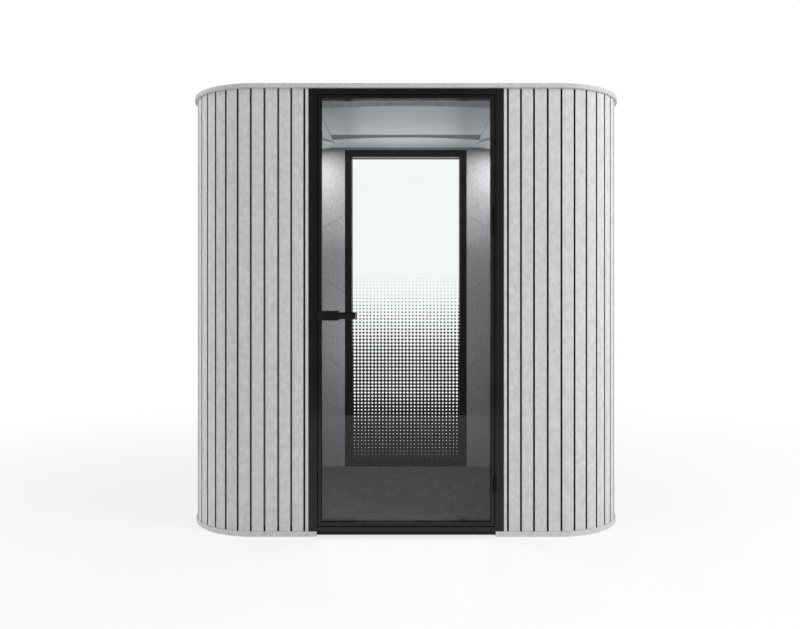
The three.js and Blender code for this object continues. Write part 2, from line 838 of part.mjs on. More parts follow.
const frontPanelFront = -insideY + frontPanelSetback;
const frontPanelCorner = frontPanelFront + frontPanelBow;
const panelZ = [panelUnderside, panelTop];
const hangerZ = [panelUnderside, boardUnderside - seatGap];
const frontPanel = [
  ...bow(frontPanelHalfWidth, frontPanelFront, frontPanelCorner),
  [frontPanelHalfWidth, frontPanelRear],
  [-frontPanelHalfWidth, frontPanelRear],
];
const frontHangers = [frontPanelCorner + hangerInset, frontPanelRear - hangerInset].flatMap((y) =>
  [-1, 1].map((side) => [side * (frontPanelHalfWidth - hangerInset), y]),
);
add("ceiling_panel_front", join(prismZ(frontPanel, panelZ), ...hangers(frontHangers, hangerZ)), satinPanel);

// Rear ceiling panel: a tray that fills the rear and runs forward on both sides of the front panel
const downlightPlaces = [
  ["left", -downlightX],
  ["right", downlightX],
];
const downlightY = insideY - downlightWallGap;

function rearPanel() {
  const innerHalf = frontPanelHalfWidth + panelSeam;
  const slotRear = frontPanelRear + slotWidth;
  const middleCut = [
    ...bow(innerHalf, slotRear, slotRear + slotBow),
    [innerHalf, -slatFaceY],
    [-innerHalf, -slatFaceY],
  ];
  const frontCut = block([-slatFaceX, slatFaceX], [-slatFaceY, frontPanelCorner], grown(panelZ, cutOverrun));
  const lampHoles = downlightPlaces.map(([, x]) =>
    rodZ(downlightHousingRadius + seatGap, x, downlightY, grown(panelZ, cutOverrun), discSides),
  );
  const sheet = prismZ(wallRing(wallThickness + panelShadowGap), panelZ);
  const tray = cut(sheet, prismZ(middleCut, grown(panelZ, cutOverrun)), frontCut, ...lampHoles);
  const places = [-1, 1].flatMap((side) => [
    [side * farX, 0],
    [side * (innerHalf + hangerInset), frontPanelCorner + hangerInset],
    [side * innerHalf, insideY - hangerInset],
  ]);
  return join(tray, ...hangers(places, hangerZ));
}

add("ceiling_panel_rear", rearPanel(), satinPanel);

// Downlights: a disc under the rear panel, on a housing that goes up through it
for (const [place, x] of downlightPlaces) {
  const profile = [
    [0, panelUnderside - downlightProud],
    [downlightRadius, panelUnderside - downlightProud],
    [downlightRadius, panelUnderside - seatGap],
    [downlightHousingRadius, panelUnderside - seatGap],
    [downlightHousingRadius, boardUnderside - seatGap],
    [0, boardUnderside - seatGap],
  ];
  add(`downlight_${place}`, turned(profile, x, downlightY, discSides), lampWhite);
}

// Fan tray: two bored ducts, each with a hub plate on spokes under its rotor
const hubTop = boardUnderside + fanHubPlate;

function fanTray() {
  const body = block([-trayHalfX, trayHalfX], trayY, [boardUnderside, wallTop]);
  const bores = fanPlaces.map(([, x]) => rodZ(fanBore, x, -fanSetback, grown([boardUnderside, wallTop], cutOverrun)));
  const hubs = fanPlaces.flatMap(([, x]) => {
    const spokes = Array.from({ length: fanSpokeCount }, (_, i) => {
      const spoke = block([0, fanBore + cutOverrun], grown([0, 0], fanSpokeWidth / 2), [boardUnderside, hubTop]);
      return spoke.rotateZ((2 * Math.PI * i) / fanSpokeCount).translate(x, -fanSetback, 0);
    });
    return [rodZ(fanHubRadius, x, -fanSetback, [boardUnderside, hubTop]), ...spokes];
  });
  const bearings = fanPlaces.map(([, x]) =>
    rodZ(shaftRadius + seatGap, x, -fanSetback, grown([boardUnderside, hubTop], cutOverrun)),
  );
  return cut(join(cut(body, ...bores), ...hubs), ...bearings);
}

add("fan_tray", fanTray(), blackPlastic);

function fanRotor(x) {
  const bottom = boardUnderside + rotorLift;
  const top = bottom + rotorHeight;
  const hub = rodZ(rotorHubRadius, 0, 0, [bottom, top]);
  const shaft = rodZ(shaftRadius, 0, 0, [boardUnderside, bottom + cutOverrun]);
  const blades = Array.from({ length: bladeCount }, (_, i) => {
    const blade = block(
      [rotorHubRadius - cutOverrun, fanBore - rotorTipGap],
      grown([0, 0], bladeChord / 2),
      grown([0, 0], bladeThickness / 2),
    );
    blade.rotateX((bladePitchDegrees * Math.PI) / 180).translate(0, 0, (bottom + top) / 2);
    return blade.rotateZ((2 * Math.PI * i) / bladeCount);
  });
  return join(hub, shaft, ...blades).translate(x, -fanSetback, 0);
}

for (const [place, x] of fanPlaces) {
  add(`fan_rotor_${place}`, fanRotor(x), blackPlastic);
}

// Power inlet: a flanged socket with three flat pins
function powerInlet() {
  const spanX = (width) => grown([inletX, inletX], width / 2);
  const spanZ = (height) => grown([inletHeight, inletHeight], height / 2);
  const face = slatFaceY + seatGap + inletFlange;
  const floor = face - inletCavityDepth;
  const flange = block(spanX(inletFlangeWidth), [slatFaceY + seatGap, face], spanZ(inletFlangeHeight));
  const bodyY = [slatFaceY - inletBodyDepth, slatFaceY + seatGap + cutOverrun];
  const body = block(spanX(inletBodyWidth), bodyY, spanZ(inletBodyHeight));
  const cavity = block(spanX(inletCavityWidth), [floor, face + cutOverrun], spanZ(inletCavityHeight));
  const pins = [-1, 0, 1].map((step) =>
    block(
      spanX(inletPinThickness),
      [floor - cutOverrun, floor + inletPinLength],
      spanZ(inletPinWidth),
    ).translate(step * inletPinSpacing, 0, 0),
  );
  return join(cut(join(flange, body), cavity), ...pins);
}

add("power_inlet", powerInlet(), blackPlastic);

export default group;
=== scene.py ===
# %% [markdown]
# A pod like this is a small room: bent felt outside, black profiles round the glass, soft felt inside.
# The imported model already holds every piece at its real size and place. So this script only gives the
# pieces their finish, models again, in the same space, those whose edges or curves need more detail, and
# adds trim that is too small for the model, such as screws and glazing beads. The frame is loaded first,
# because the sizes that follow are read from it.

# %% Load the frame
import math
import random

import bmesh
import bpy
from mathutils import Matrix, Vector


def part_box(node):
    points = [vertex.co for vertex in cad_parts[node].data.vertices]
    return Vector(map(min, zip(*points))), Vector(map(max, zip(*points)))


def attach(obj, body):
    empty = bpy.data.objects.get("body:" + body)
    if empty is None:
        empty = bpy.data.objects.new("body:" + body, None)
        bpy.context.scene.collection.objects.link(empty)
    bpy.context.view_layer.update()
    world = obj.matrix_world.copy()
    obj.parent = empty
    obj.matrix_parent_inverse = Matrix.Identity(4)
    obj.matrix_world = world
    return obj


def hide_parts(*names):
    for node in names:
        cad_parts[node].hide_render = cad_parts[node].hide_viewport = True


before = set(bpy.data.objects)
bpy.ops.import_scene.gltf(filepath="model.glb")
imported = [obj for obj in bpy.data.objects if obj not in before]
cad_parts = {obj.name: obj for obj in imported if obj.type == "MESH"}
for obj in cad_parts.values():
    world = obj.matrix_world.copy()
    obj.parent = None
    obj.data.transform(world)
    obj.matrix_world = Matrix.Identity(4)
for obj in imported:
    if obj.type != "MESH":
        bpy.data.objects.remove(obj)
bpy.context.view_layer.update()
mm = 0.001

# %% [markdown]
# The camera stands level in front of the door, at chest height and a few millimetres left of the middle.
# Its place, lens and shift were worked out from the photo: a level camera keeps upright edges upright, and
# the shift moves the horizon in the picture without tilting the camera, as an architectural photographer
# would.

# %% Camera
photo_width = 800
photo_height = 629
focal_pixels = 750
centre_column = 404.9
horizon_row = 298.2
sensor_width = 36
eye_aside = -0.006
eye_distance = 4.416
eye_height = 1.184

eye = (eye_aside, -eye_distance, eye_height)
bpy.ops.object.camera_add(location=eye, rotation=(math.radians(90), 0, 0))
camera = bpy.context.active_object
camera.data.sensor_width = sensor_width
camera.data.lens = sensor_width * focal_pixels / photo_width
camera.data.shift_x = (photo_width / 2 - centre_column) / photo_width
camera.data.shift_y = (horizon_row - photo_height / 2) / photo_width
bpy.context.scene.camera = camera
bpy.context.scene.view_settings.view_transform = "Standard"
print("Lens", round(camera.data.lens, 2), "mm, raised by", round(camera.data.shift_y, 4), "picture widths")

# %% [markdown]
# Modelling by hand is a round of the same moves: select one object, go into edit mode, pick some faces or
# edges, use a tool, come back. These helpers are those moves. Picking goes by where a face or an edge lies,
# so that the same script finds it again on every run.

# %% Helpers that select
X, Y, Z = 0, 1, 2
near = 0.02 * mm
straight = 0.999


def deselect():
    bpy.ops.object.select_all(action="DESELECT")


def alone(piece):
    """Make one object the only selected one, and the active one."""
    deselect()
    piece.select_set(True)
    bpy.context.view_layer.objects.active = piece


def edit(piece):
    alone(piece)
    bpy.ops.object.mode_set(mode="EDIT")
    bpy.ops.mesh.select_all(action="SELECT")


def leave():
    bpy.ops.object.mode_set(mode="OBJECT")


def pick(kind, test):
    """In edit mode, select the faces, edges or verts that pass a test."""
    data = bpy.context.edit_object.data
    mesh = bmesh.from_edit_mesh(data)
    bpy.context.tool_settings.mesh_select_mode = (kind == "verts", kind == "edges", kind == "faces")
    bpy.ops.mesh.select_all(action="DESELECT")
    chosen = [item for item in getattr(mesh, kind) if test(item)]
    for item in chosen:
        item.select_set(True)
    mesh.select_flush_mode()
    bmesh.update_edit_mesh(data)
    return len(chosen)


def runs(edge, axis):
    """Whether an edge lies along one axis."""
    line = edge.verts[1].co - edge.verts[0].co
    return abs(line[axis]) > straight * line.length


def at(item, axis, *places):
    """Whether a vert, or every vert of an edge or a face, lies at one of these places along an axis."""
    corners = getattr(item, "verts", [item])
    return any(all(abs(corner.co[axis] - place) < near for corner in corners) for place in places)


print("Selecting: faces, edges or verts, by place")

# %% Helpers that start a piece
flat_angle = math.radians(0.5)


def begun(name):
    """Name the primitive just added, and move its place and size into its mesh."""
    piece = bpy.context.active_object
    piece.name = name
    bpy.ops.object.transform_apply(location=True, rotation=True, scale=True)
    return piece


def block(name, low, high):
    """A cube primitive between two corners."""
    low, high = Vector(low), Vector(high)
    deselect()
    bpy.ops.mesh.primitive_cube_add(size=1, location=(low + high) / 2)
    bpy.context.active_object.scale = high - low
    return begun(name)


def disc(name, radius, centre, low, high, sides):
    """A cylinder primitive that stands on end."""
    middle = (centre[0], centre[1], (low + high) / 2)
    deselect()
    bpy.ops.mesh.primitive_cylinder_add(vertices=sides, radius=radius, depth=high - low, location=middle)
    return begun(name)


def copied(piece, shift=(0, 0, 0)):
    """A copy with a mesh of its own, moved in its mesh."""
    twin = piece.copy()
    twin.data = piece.data.copy()
    twin.data.transform(Matrix.Translation(shift))
    bpy.context.scene.collection.objects.link(twin)
    return twin


def opposite(piece):
    """A mirror image on the other side of the pod, with its faces turned out again."""
    twin = copied(piece)
    twin.data.transform(Matrix.Scale(-1, 4, (1, 0, 0)))
    edit(twin)
    bpy.ops.mesh.flip_normals()
    leave()
    return twin


def joined(pieces):
    """Make one object of several: the first takes in the rest."""
    deselect()
    for piece in pieces:
        piece.select_set(True)
    bpy.context.view_layer.objects.active = pieces[0]
    bpy.ops.object.join()
    return pieces[0]


def merged_copy(node):
    """A CAD node's mesh is loose triangles: a copy is merged into whole faces before it is worked on."""
    piece = copied(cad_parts[node])
    piece.parent = None
    for key in list(piece.keys()):
        del piece[key]
    piece.data.materials.clear()
    edit(piece)
    bpy.ops.mesh.remove_doubles(threshold=near)
    bpy.ops.mesh.customdata_custom_splitnormals_clear()
    bpy.ops.mesh.dissolve_limited(angle_limit=flat_angle)
    leave()
    return piece


print("Starting: a block, a disc, a copy, a mirror image or a merged CAD node")

# %% Helpers that shape a piece
edge_angle = math.radians(32)


def apply(piece, kind, **settings):
    """Add a modifier, set it, apply it."""
    alone(piece)
    modifier = piece.modifiers.new("step", kind)
    for name, value in settings.items():
        setattr(modifier, name, value)
    bpy.ops.object.modifier_apply(modifier=modifier.name)


def eased(piece, width, segments=2):
    """Take the sharpness off every hard edge."""
    apply(piece, "BEVEL", width=width, segments=segments, limit_method="ANGLE", angle_limit=edge_angle)
    return piece


def bevelled(piece, width, segments, test):
    """Bevel the edges that pass a test."""
    edit(piece)
    pick("edges", test)
    bpy.ops.mesh.bevel(offset=width, segments=segments, affect="EDGES")
    leave()


def columns(piece, *cuts):
    """Divide a bar along X, several times over, so that it can bend."""
    edit(piece)
    for count in cuts:
        pick("edges", lambda edge: runs(edge, X))
        bpy.ops.mesh.subdivide(number_cuts=count)
    leave()


def extrude_up(height):
    """In edit mode, extrude the selected faces upwards, or downwards by a negative height."""
    bpy.ops.mesh.extrude_region_move(TRANSFORM_OT_translate={"value": (0, 0, height)})


def cut_away(piece, cutter):
    apply(piece, "BOOLEAN", operation="DIFFERENCE", object=cutter, solver="EXACT")
    bpy.data.objects.remove(cutter)


print("Shaping: modifiers, bevels, columns, extrusions and cuts")

# %% [markdown]
# A bevel between two flat faces would tilt their smooth shading at the edge. Weighted normals keep a large
# face flat and let the narrow bevel do all the turning, so every piece gets them when it is dressed.

# %% Helpers that finish a piece
def paint(piece, index, test):
    """Give the faces that pass a test another of the piece's materials."""
    for face in piece.data.polygons:
        if test(face):
            face.material_index = index


def dress(piece, name, body, finishes, nodes=()):
    """Name a finished piece, give it its materials, and set it on its body in place of its CAD nodes."""
    alone(piece)
    bpy.ops.object.shade_smooth_by_angle(angle=edge_angle)
    apply(piece, "WEIGHTED_NORMAL", keep_sharp=True)
    piece.name = name
    piece.data.name = name
    for finish in finishes:
        piece.data.materials.append(finish)
    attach(piece, body)
    if nodes:
        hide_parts(*nodes)
    print(f"{name}: {len(piece.data.polygons)} faces, on {body}")
    return piece


def dress_again(node, name, body, finishes, ease, segments=2):
    """Put a merged copy of a CAD node, with its edges eased, in the node's place."""
    return dress(eased(merged_copy(node), ease, segments), name, body, finishes, [node])


def keep(finish, *nodes):
    """CAD nodes whose shape is right as it is get a better material only."""
    for node in nodes:
        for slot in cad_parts[node].material_slots:
            slot.material = finish
    print(f"{finish.name}: {len(nodes)} CAD nodes kept")


print("Finishing: materials, shading, bodies and slots")

# %% [markdown]
# Materials are networks of small nodes. Most of them here share a few effects, such as the cloudiness of
# pressed felt or the fine grain of powder coat, so each effect is made once as a node group with its own
# inputs and outputs. A group only gives out values. The shader itself stays in each material, which keeps
# the groups usable for any finish.

# %% Helpers for nodes
def put(tree, kind, links=None, **settings):
    """Add a shader node: settings are its own properties, links feed its inputs with values or sockets."""
    made = tree.nodes.new("ShaderNode" + kind)
    for name, value in settings.items():
        setattr(made, name, value)
    for name, value in (links or {}).items():
        if isinstance(value, bpy.types.NodeSocket):
            tree.links.new(value, made.inputs[name])
        else:
            made.inputs[name].default_value = value
    return made


def maths(tree, operation, *values):
    """A sum, a product or another piece of arithmetic."""
    return put(tree, "Math", dict(enumerate(values)), operation=operation).outputs[0]


def spread(tree, value, low, high, to_low=0.0, to_high=1.0):
    """Stretch a value from one range to another, and hold it there."""
    links = {"Value": value, "From Min": low, "From Max": high, "To Min": to_low, "To Max": to_high}
    return put(tree, "MapRange", links).outputs[0]


def tint(tree, share, first, second):
    """Mix two colours."""
    return put(tree, "Mix", {0: share, 6: first, 7: second}, data_type="RGBA").outputs[2]


def grey(level, red=1.0, blue=1.0):
    """A screen level from 0 to 255 as a colour for a node, with a little more or less red and blue."""
    share = level / 255
    linear = ((share + 0.055) / 1.055) ** 2.4
    return (linear * red, linear, linear * blue, 1.0)


def on_piece(tree):
    """Object coordinates: the pattern sits on the piece, in metres."""
    return put(tree, "TexCoord").outputs["Object"]


def axes(tree, place):
    """The X, Y and Z of a place, each on its own."""
    return put(tree, "SeparateXYZ", {0: place}).outputs


def noise(tree, place, scale, detail=2.0, roughness=0.5, distortion=0.0):
    """A cloudy pattern: detail is how many finer layers it has, and roughness how strong they are."""
    links = {"Vector": place, "Scale": scale, "Detail": detail, "Roughness": roughness}
    return put(tree, "TexNoise", {**links, "Distortion": distortion}).outputs[0]


def cells(tree, place, scale, randomness=1.0):
    """How far each point lies from the middle of its cell."""
    links = {"Vector": place, "Scale": scale, "Randomness": randomness}
    return put(tree, "TexVoronoi", links).outputs["Distance"]


print("Node helpers: a node, arithmetic, ranges, colours, noise and cells")

# %% Helpers for node groups and materials
def new_group(name, inputs, outputs):
    group = bpy.data.node_groups.new(name, "ShaderNodeTree")
    for title, value in inputs.items():
        socket = group.interface.new_socket(title, in_out="INPUT", socket_type="NodeSocketFloat")
        socket.default_value = value
    for title in outputs:
        group.interface.new_socket(title, in_out="OUTPUT", socket_type="NodeSocketFloat")
    entry = group.nodes.new("NodeGroupInput").outputs
    way_out = group.nodes.new("NodeGroupOutput").inputs
    return group, entry, way_out


def effect(tree, group, **values):
    """Place a node group in a material. Its inputs are given with _ for each space."""
    made = put(tree, "Group", node_tree=group)
    for name, value in values.items():
        made.inputs[name.replace("_", " ")].default_value = value
    return made.outputs


def new_material(name, roughness, **constants):
    """A Principled material whose constants are set on the shader itself."""
    material = bpy.data.materials.new(name)
    material.use_nodes = True
    tree = material.node_tree
    shader = tree.nodes["Principled BSDF"]
    shader.inputs["Roughness"].default_value = roughness
    for title, value in constants.items():
        shader.inputs[title.replace("_", " ")].default_value = value
    return material, tree, shader.inputs


def colour(tree, shader, share, first, second):
    """Mix two colours into the base colour."""
    tree.links.new(tint(tree, share, first, second), shader["Base Color"])


def bumped(tree, shader, height, depth, strength):
    """Raise the surface by a height value, depth metres at most."""
    links = {"Height": height, "Distance": depth, "Strength": strength}
    tree.links.new(put(tree, "Bump", links).outputs[0], shader["Normal"])


def swap_in(tree, share, other):
    """Let another shader take the place of the Principled one, by a share from 0 to 1."""
    principled = tree.nodes["Principled BSDF"].outputs[0]
    mixed = put(tree, "MixShader", {0: share, 1: principled, 2: other}).outputs[0]
    tree.links.new(mixed, tree.nodes["Material Output"].inputs["Surface"])


print("Material helpers: groups, constants, base colour, bump and a second shader")

# %% [markdown]
# Pressed felt is a mat of short fibres. From a step away it is cloudy, with paler and darker patches a
# thumb wide, and close up it is fuzzy. The group gives both: a cloud value for the colour and a fibre
# height for the bump. Every slat is cut from another spot of the sheet, so the pattern is shifted by a
# number that each slat carries. Deep and Upright below one draw the clouds out along Y or Z.

# %% Felt effect
strip_travel = 9.0
felt_inputs = {"Cloud scale": 40, "Deep": 1, "Upright": 1}
felt_effect, entry, way_out = new_group("felt", felt_inputs, ["Cloud", "Fibre"])
tree = felt_effect
strip = put(tree, "Attribute", attribute_name="strip").outputs["Fac"]
far = maths(tree, "MULTIPLY", strip, strip_travel)
strip_shift = put(tree, "CombineXYZ", {"X": far, "Y": strip, "Z": strip}).outputs[0]
shifted = put(tree, "VectorMath", {0: on_piece(tree), 1: strip_shift}, operation="ADD").outputs[0]
stretch = put(tree, "CombineXYZ", {"X": 1.0, "Y": entry["Deep"], "Z": entry["Upright"]}).outputs[0]
grain_space = put(tree, "VectorMath", {0: shifted, 1: stretch}, operation="MULTIPLY").outputs[0]
cloud = noise(tree, grain_space, entry["Cloud scale"], 5.0, 0.62)
fleck = noise(tree, grain_space, 420.0, 3.0, 0.7)
cloud_part = spread(tree, cloud, 0.3, 0.7, 0.0, 0.72)
fleck_part = spread(tree, fleck, 0.3, 0.7, 0.0, 0.28)
tree.links.new(maths(tree, "ADD", cloud_part, fleck_part), way_out["Cloud"])
fibre = noise(tree, shifted, 900.0, 5.0, 0.75, 1.4)
swell = maths(tree, "MULTIPLY", cloud, 0.8)
tree.links.new(maths(tree, "ADD", fibre, swell), way_out["Fibre"])
print("Felt effect:", len(tree.nodes), "nodes")

# %% [markdown]
# Powder coat and moulded plastic are smooth to the hand but not to the light: they have a fine orange peel
# and hands leave slightly duller patches. Dust gathers low down, where shoes raise it. The first effect
# serves nearly every hard surface of the pod. The second one greys the low ones with dust, and also
# makes the pale felt darker in patches towards the floor.

# %% Coat and dust effects
coat_effect, entry, way_out = new_group("coat", {"Peel scale": 1500, "Rub scale": 9}, ["Peel", "Rub"])
tree = coat_effect
place = on_piece(tree)
rub = noise(tree, place, entry["Rub scale"], 6.0, 0.65)
tree.links.new(noise(tree, place, entry["Peel scale"]), way_out["Peel"])
tree.links.new(spread(tree, rub, 0.35, 0.7), way_out["Rub"])

dust_effect, entry, way_out = new_group("dust", {"Reach": 0.25, "Amount": 0.5}, ["Dust"])
tree = dust_effect
place = on_piece(tree)
low_down = maths(tree, "SUBTRACT", 1.0, maths(tree, "DIVIDE", axes(tree, place)["Z"], entry["Reach"]))
drift = spread(tree, noise(tree, place, 30.0, 6.0, 0.7), 0.3, 0.75)
gathered = maths(tree, "MULTIPLY", spread(tree, low_down, 0.0, 1.0), drift)
tree.links.new(maths(tree, "MULTIPLY", gathered, entry["Amount"]), way_out["Dust"])
print("Coat effect:", len(coat_effect.nodes), "nodes, dust effect:", len(dust_effect.nodes))

# %% [markdown]
# The felts differ in colour and in the size of their clouds, and share one recipe: a pale one outside, one
# for the roof, a dark one for the inner walls, two for the ceiling and its slot, and black fleece behind
# the slats. The slot's felt is a darker copy of the ceiling felt, with painted shade for the slot's
# shadow, and the black fleece also covers the slats' sides as painted shade in the grooves. Felt has no
# shine, only a soft sheen where fibres catch light from the side. The pale one is a little darker in
# patches towards the floor.

# %% Felts
low_band_reach = 60 * mm
low_band_darker = 40


def felt(name, dark, light, cloud_scale, red=1.0, blue=1.0, deep=1.0, upright=1.0, sheen=0.12, darker_low=0.0):
    material, tree, shader = new_material(name, 0.95, Sheen_Weight=sheen, Sheen_Roughness=0.6)
    made = effect(tree, felt_effect, Cloud_scale=cloud_scale, Deep=deep, Upright=upright)
    shade = tint(tree, made["Cloud"], grey(dark, red, blue), grey(light, red, blue))
    # The pale felt gets darker in patches towards the floor.
    if darker_low:
        low_band = effect(tree, dust_effect, Reach=low_band_reach, Amount=darker_low)["Dust"]
        shade = tint(tree, low_band, shade, grey(dark - low_band_darker))
    tree.links.new(shade, shader["Base Color"])
    bumped(tree, shader, made["Fibre"], 0.35 * mm, 0.6)
    return material


pale_felt = felt("pale_felt", 178, 208, 42.0, blue=1.016, upright=0.7, darker_low=0.12)
roof_felt = felt("roof_felt", 172, 198, 55.0, blue=1.016)
dark_felt = felt("dark_felt", 108, 137, 80.0, blue=1.04, upright=0.7)
ceiling_felt = felt("ceiling_felt", 115, 160, 60.0, red=0.97, blue=1.12, deep=0.12)
# A darker copy of the ceiling felt: the slot's shadow painted in as shade.
slot_felt_painted_shade = felt("slot_felt_painted_shade", 72, 95, 60.0, red=0.97, blue=1.12, deep=0.12)
# Black fleece behind the slats; on the slats' sides the same black is painted shade for the grooves.
black_fleece_and_groove_shade = felt("black_fleece_and_groove_shade", 12, 20, 200.0, sheen=0.0)
felts = [pale_felt, roof_felt, dark_felt, ceiling_felt, slot_felt_painted_shade, black_fleece_and_groove_shade]
print("Felts:", [finish.name for finish in felts])

# %% [markdown]
# The profiles are aluminium with a fine black powder coat. It reads as black from the front, yet at a
# grazing angle it mirrors the bright room, so its roughness is low and a rub mask makes it a little
# uneven. The window's coat is duller, the hinges are matt, lock cases and fans are moulded plastic, and
# seals are rubber.

# %% Black finishes
rubbed_paler = 9
dust_reach = 300 * mm


def coated(name, level, roughness, peel_scale, peel_depth, rubbed, dust=0.0, red=1.0, blue=1.0, **constants):
    material, tree, shader = new_material(name, roughness, **constants)
    made = effect(tree, coat_effect, Peel_scale=peel_scale)
    worn = maths(tree, "MULTIPLY", made["Rub"], 0.5)
    shade = tint(tree, worn, grey(level, red, blue), grey(level + rubbed_paler, red, blue))
    if dust:
        settled = effect(tree, dust_effect, Reach=dust_reach, Amount=dust)["Dust"]
        shade = tint(tree, settled, shade, grey(120, 1.04, 0.96))
    tree.links.new(shade, shader["Base Color"])
    tree.links.new(spread(tree, made["Rub"], 0.0, 1.0, roughness, roughness + rubbed), shader["Roughness"])
    bumped(tree, shader, made["Peel"], peel_depth, 0.35)
    return material


black_coat = coated("black_coat", 21, 0.13, 1500.0, 0.01 * mm, 0.03, dust=0.05, blue=1.08)
window_coat = coated("window_coat", 10, 0.13, 1500.0, 0.01 * mm, 0.03, blue=1.08, IOR=1.35)
hinge_black = coated("hinge_black", 15, 0.85, 900.0, 0.05 * mm, 0.05, IOR=1.3)
black_plastic = coated("black_plastic", 15, 0.48, 900.0, 0.08 * mm, 0.1)
black_rubber = coated("black_rubber", 12, 0.72, 400.0, 0.1 * mm, 0.1)
deck_black = coated("deck_black", 18, 0.7, 250.0, 0.2 * mm, 0.15, dust=0.08)
blacks = [black_coat, window_coat, hinge_black, black_plastic, black_rubber, deck_black]
print("Black finishes:", [finish.name for finish in blacks])

# %% [markdown]
# Zinc-plated steel is used where strength counts and nobody looks: screws, latch, spindle, feet. The
# ceiling panels are satin, brushed from side to side. Zinc is a metal, whose colour lives in its
# reflection. The satin is mostly a coat, so it is only a little metallic. A noise drawn out along X gives
# it its fine lines and its broad streaks.

# %% Metals
zinc, tree, shader = new_material("zinc", 0.36, Metallic=1.0)
made = effect(tree, coat_effect, Peel_scale=260.0, Rub_scale=40.0)
colour(tree, shader, made["Rub"], grey(176, 0.98, 1.02), grey(204, 0.99, 1.01))
tree.links.new(spread(tree, made["Rub"], 0.0, 1.0, 0.3, 0.48), shader["Roughness"])
bumped(tree, shader, made["Peel"], 0.03 * mm, 0.4)

satin, tree, shader = new_material("satin", 0.42, Metallic=0.2)


def brushed(along, across):
    """A noise drawn out along X."""
    stretched = put(tree, "Mapping", {"Vector": on_piece(tree), "Scale": (along, across, across)}).outputs[0]
    return noise(tree, stretched, 1.0, 5.0, 0.6)


lines = brushed(3, 260)
streaks = brushed(0.8, 32)
shade = maths(tree, "ADD", maths(tree, "MULTIPLY", lines, 0.5), maths(tree, "MULTIPLY", streaks, 0.5))
colour(tree, shader, shade, grey(143, 0.91, 1.04), grey(195, 0.92, 1.03))
tree.links.new(spread(tree, lines, 0.3, 0.7, 0.34, 0.48), shader["Roughness"])
bumped(tree, shader, lines, 0.04 * mm, 0.3)
print("Metals:", zinc.name, satin.name)

# %% [markdown]
# The panes are laminated safety glass. Light has to get through them into the cabin: rays that carry
# shadow would stop at real glass and leave the cabin dark, so for those rays only the pane is made clear.
# Faint smears change its tint and its roughness, which makes it readable as glass.

# %% Glass
glass, tree, shader = new_material("pane_glass", 0.0, Transmission_Weight=1.0, IOR=1.45)
smear = effect(tree, coat_effect, Rub_scale=3.0)["Rub"]
colour(tree, shader, smear, (0.982, 0.996, 0.997, 1), (0.988, 1, 1, 1))
tree.links.new(spread(tree, smear, 0.5, 1.0, 0.0, 0.02), shader["Roughness"])
clear = put(tree, "BsdfTransparent", {"Color": (0.94, 0.955, 0.955, 1)}).outputs[0]
swap_in(tree, put(tree, "LightPath").outputs["Is Shadow Ray"], clear)
print("Glass:", len(tree.nodes), "nodes")

# %% [markdown]
# The rear window carries a printed film that grades from clear to black. A dot grid comes from two waves,
# one across and one up: their sum has a hump at every crossing. Ink lies where the sum is above a
# threshold. As the threshold falls from top to bottom, small dots grow, touch, and leave small clear
# dots between them. The ink then goes into Alpha, so that the film is see-through between the dots. The
# list gives the threshold at a few heights in millimetres, tried until the dots grew as in the photo, and
# a colour ramp blends them.

# %% Printed film
dot_pitch_across = 23.7 * mm
dot_pitch_up = 23.05 * mm
dot_row_height = 905.7 * mm
dot_softness = 0.04
ramp_height = 1500 * mm
highest_threshold = 2.5
threshold_by_height = (
    (105, -2.1),
    (114, -1.92),
    (330, -1.6),
    (560, -0.4),
    (740, -0.25),
    (860, 0.0),
    (1220, 1.78),
    (1330, 1.9),
    (1340, 2.1),
)

film, tree, shader = new_material("printed_film", 0.35)
film_place = axes(tree, on_piece(tree))


def wave(distance, pitch):
    turns = maths(tree, "MULTIPLY", distance, 2 * math.pi / pitch)
    return maths(tree, "COSINE", turns)


across = wave(film_place["X"], dot_pitch_across)
up = wave(maths(tree, "SUBTRACT", film_place["Z"], dot_row_height), dot_pitch_up)
ramp = put(tree, "ValToRGB", {"Fac": maths(tree, "DIVIDE", film_place["Z"], ramp_height)})
stops = ramp.color_ramp.elements
while len(stops) < len(threshold_by_height):
    stops.new(0.5)
for stop, (height, level) in zip(stops, threshold_by_height):
    stop.position = height * mm / ramp_height
    stop.color = ((level + highest_threshold) / (2 * highest_threshold),) * 3 + (1,)
threshold = spread(tree, ramp.outputs["Color"], 0.0, 1.0, -highest_threshold, highest_threshold)
above = maths(tree, "SUBTRACT", maths(tree, "ADD", across, up), threshold)
tree.links.new(spread(tree, above, -dot_softness, dot_softness), shader["Alpha"])
colour(tree, shader, effect(tree, coat_effect)["Rub"], grey(20), grey(27))
print("Film: dots every", round(dot_pitch_across / mm, 1), "mm across")

# %% [markdown]
# Carpet in such a pod is a low loop pile. Loops are a few millimetres wide, and the yarn mixes two greys.
# A cell texture gives the loops their relief. Three noises mix the greys: the yarn itself, tufts a few
# centimetres wide, and the paler lanes that walking leaves.

# %% Carpet
carpet, tree, shader = new_material("carpet_pile", 0.97, Sheen_Weight=0.1, Sheen_Roughness=0.5)
place = on_piece(tree)
loops = cells(tree, place, 260.0, 0.8)
yarn = noise(tree, place, 330.0, 4.0, 0.8)
yarn_part = spread(tree, yarn, 0.4, 0.6, 0.0, 0.2)
tuft_part = spread(tree, noise(tree, place, 36.0, 5.0, 0.8), 0.43, 0.57, 0.0, 0.65)
lane_part = spread(tree, noise(tree, place, 5.0, 3.0), 0.3, 0.7, 0.0, 0.15)
mix = maths(tree, "ADD", maths(tree, "ADD", yarn_part, tuft_part), lane_part)
colour(tree, shader, mix, grey(6, 0.99, 1.01), grey(67, 0.99, 1.02))
bumped(tree, shader, maths(tree, "SUBTRACT", yarn, loops), 1.5 * mm, 0.8)
print("Carpet:", len(tree.nodes), "nodes")

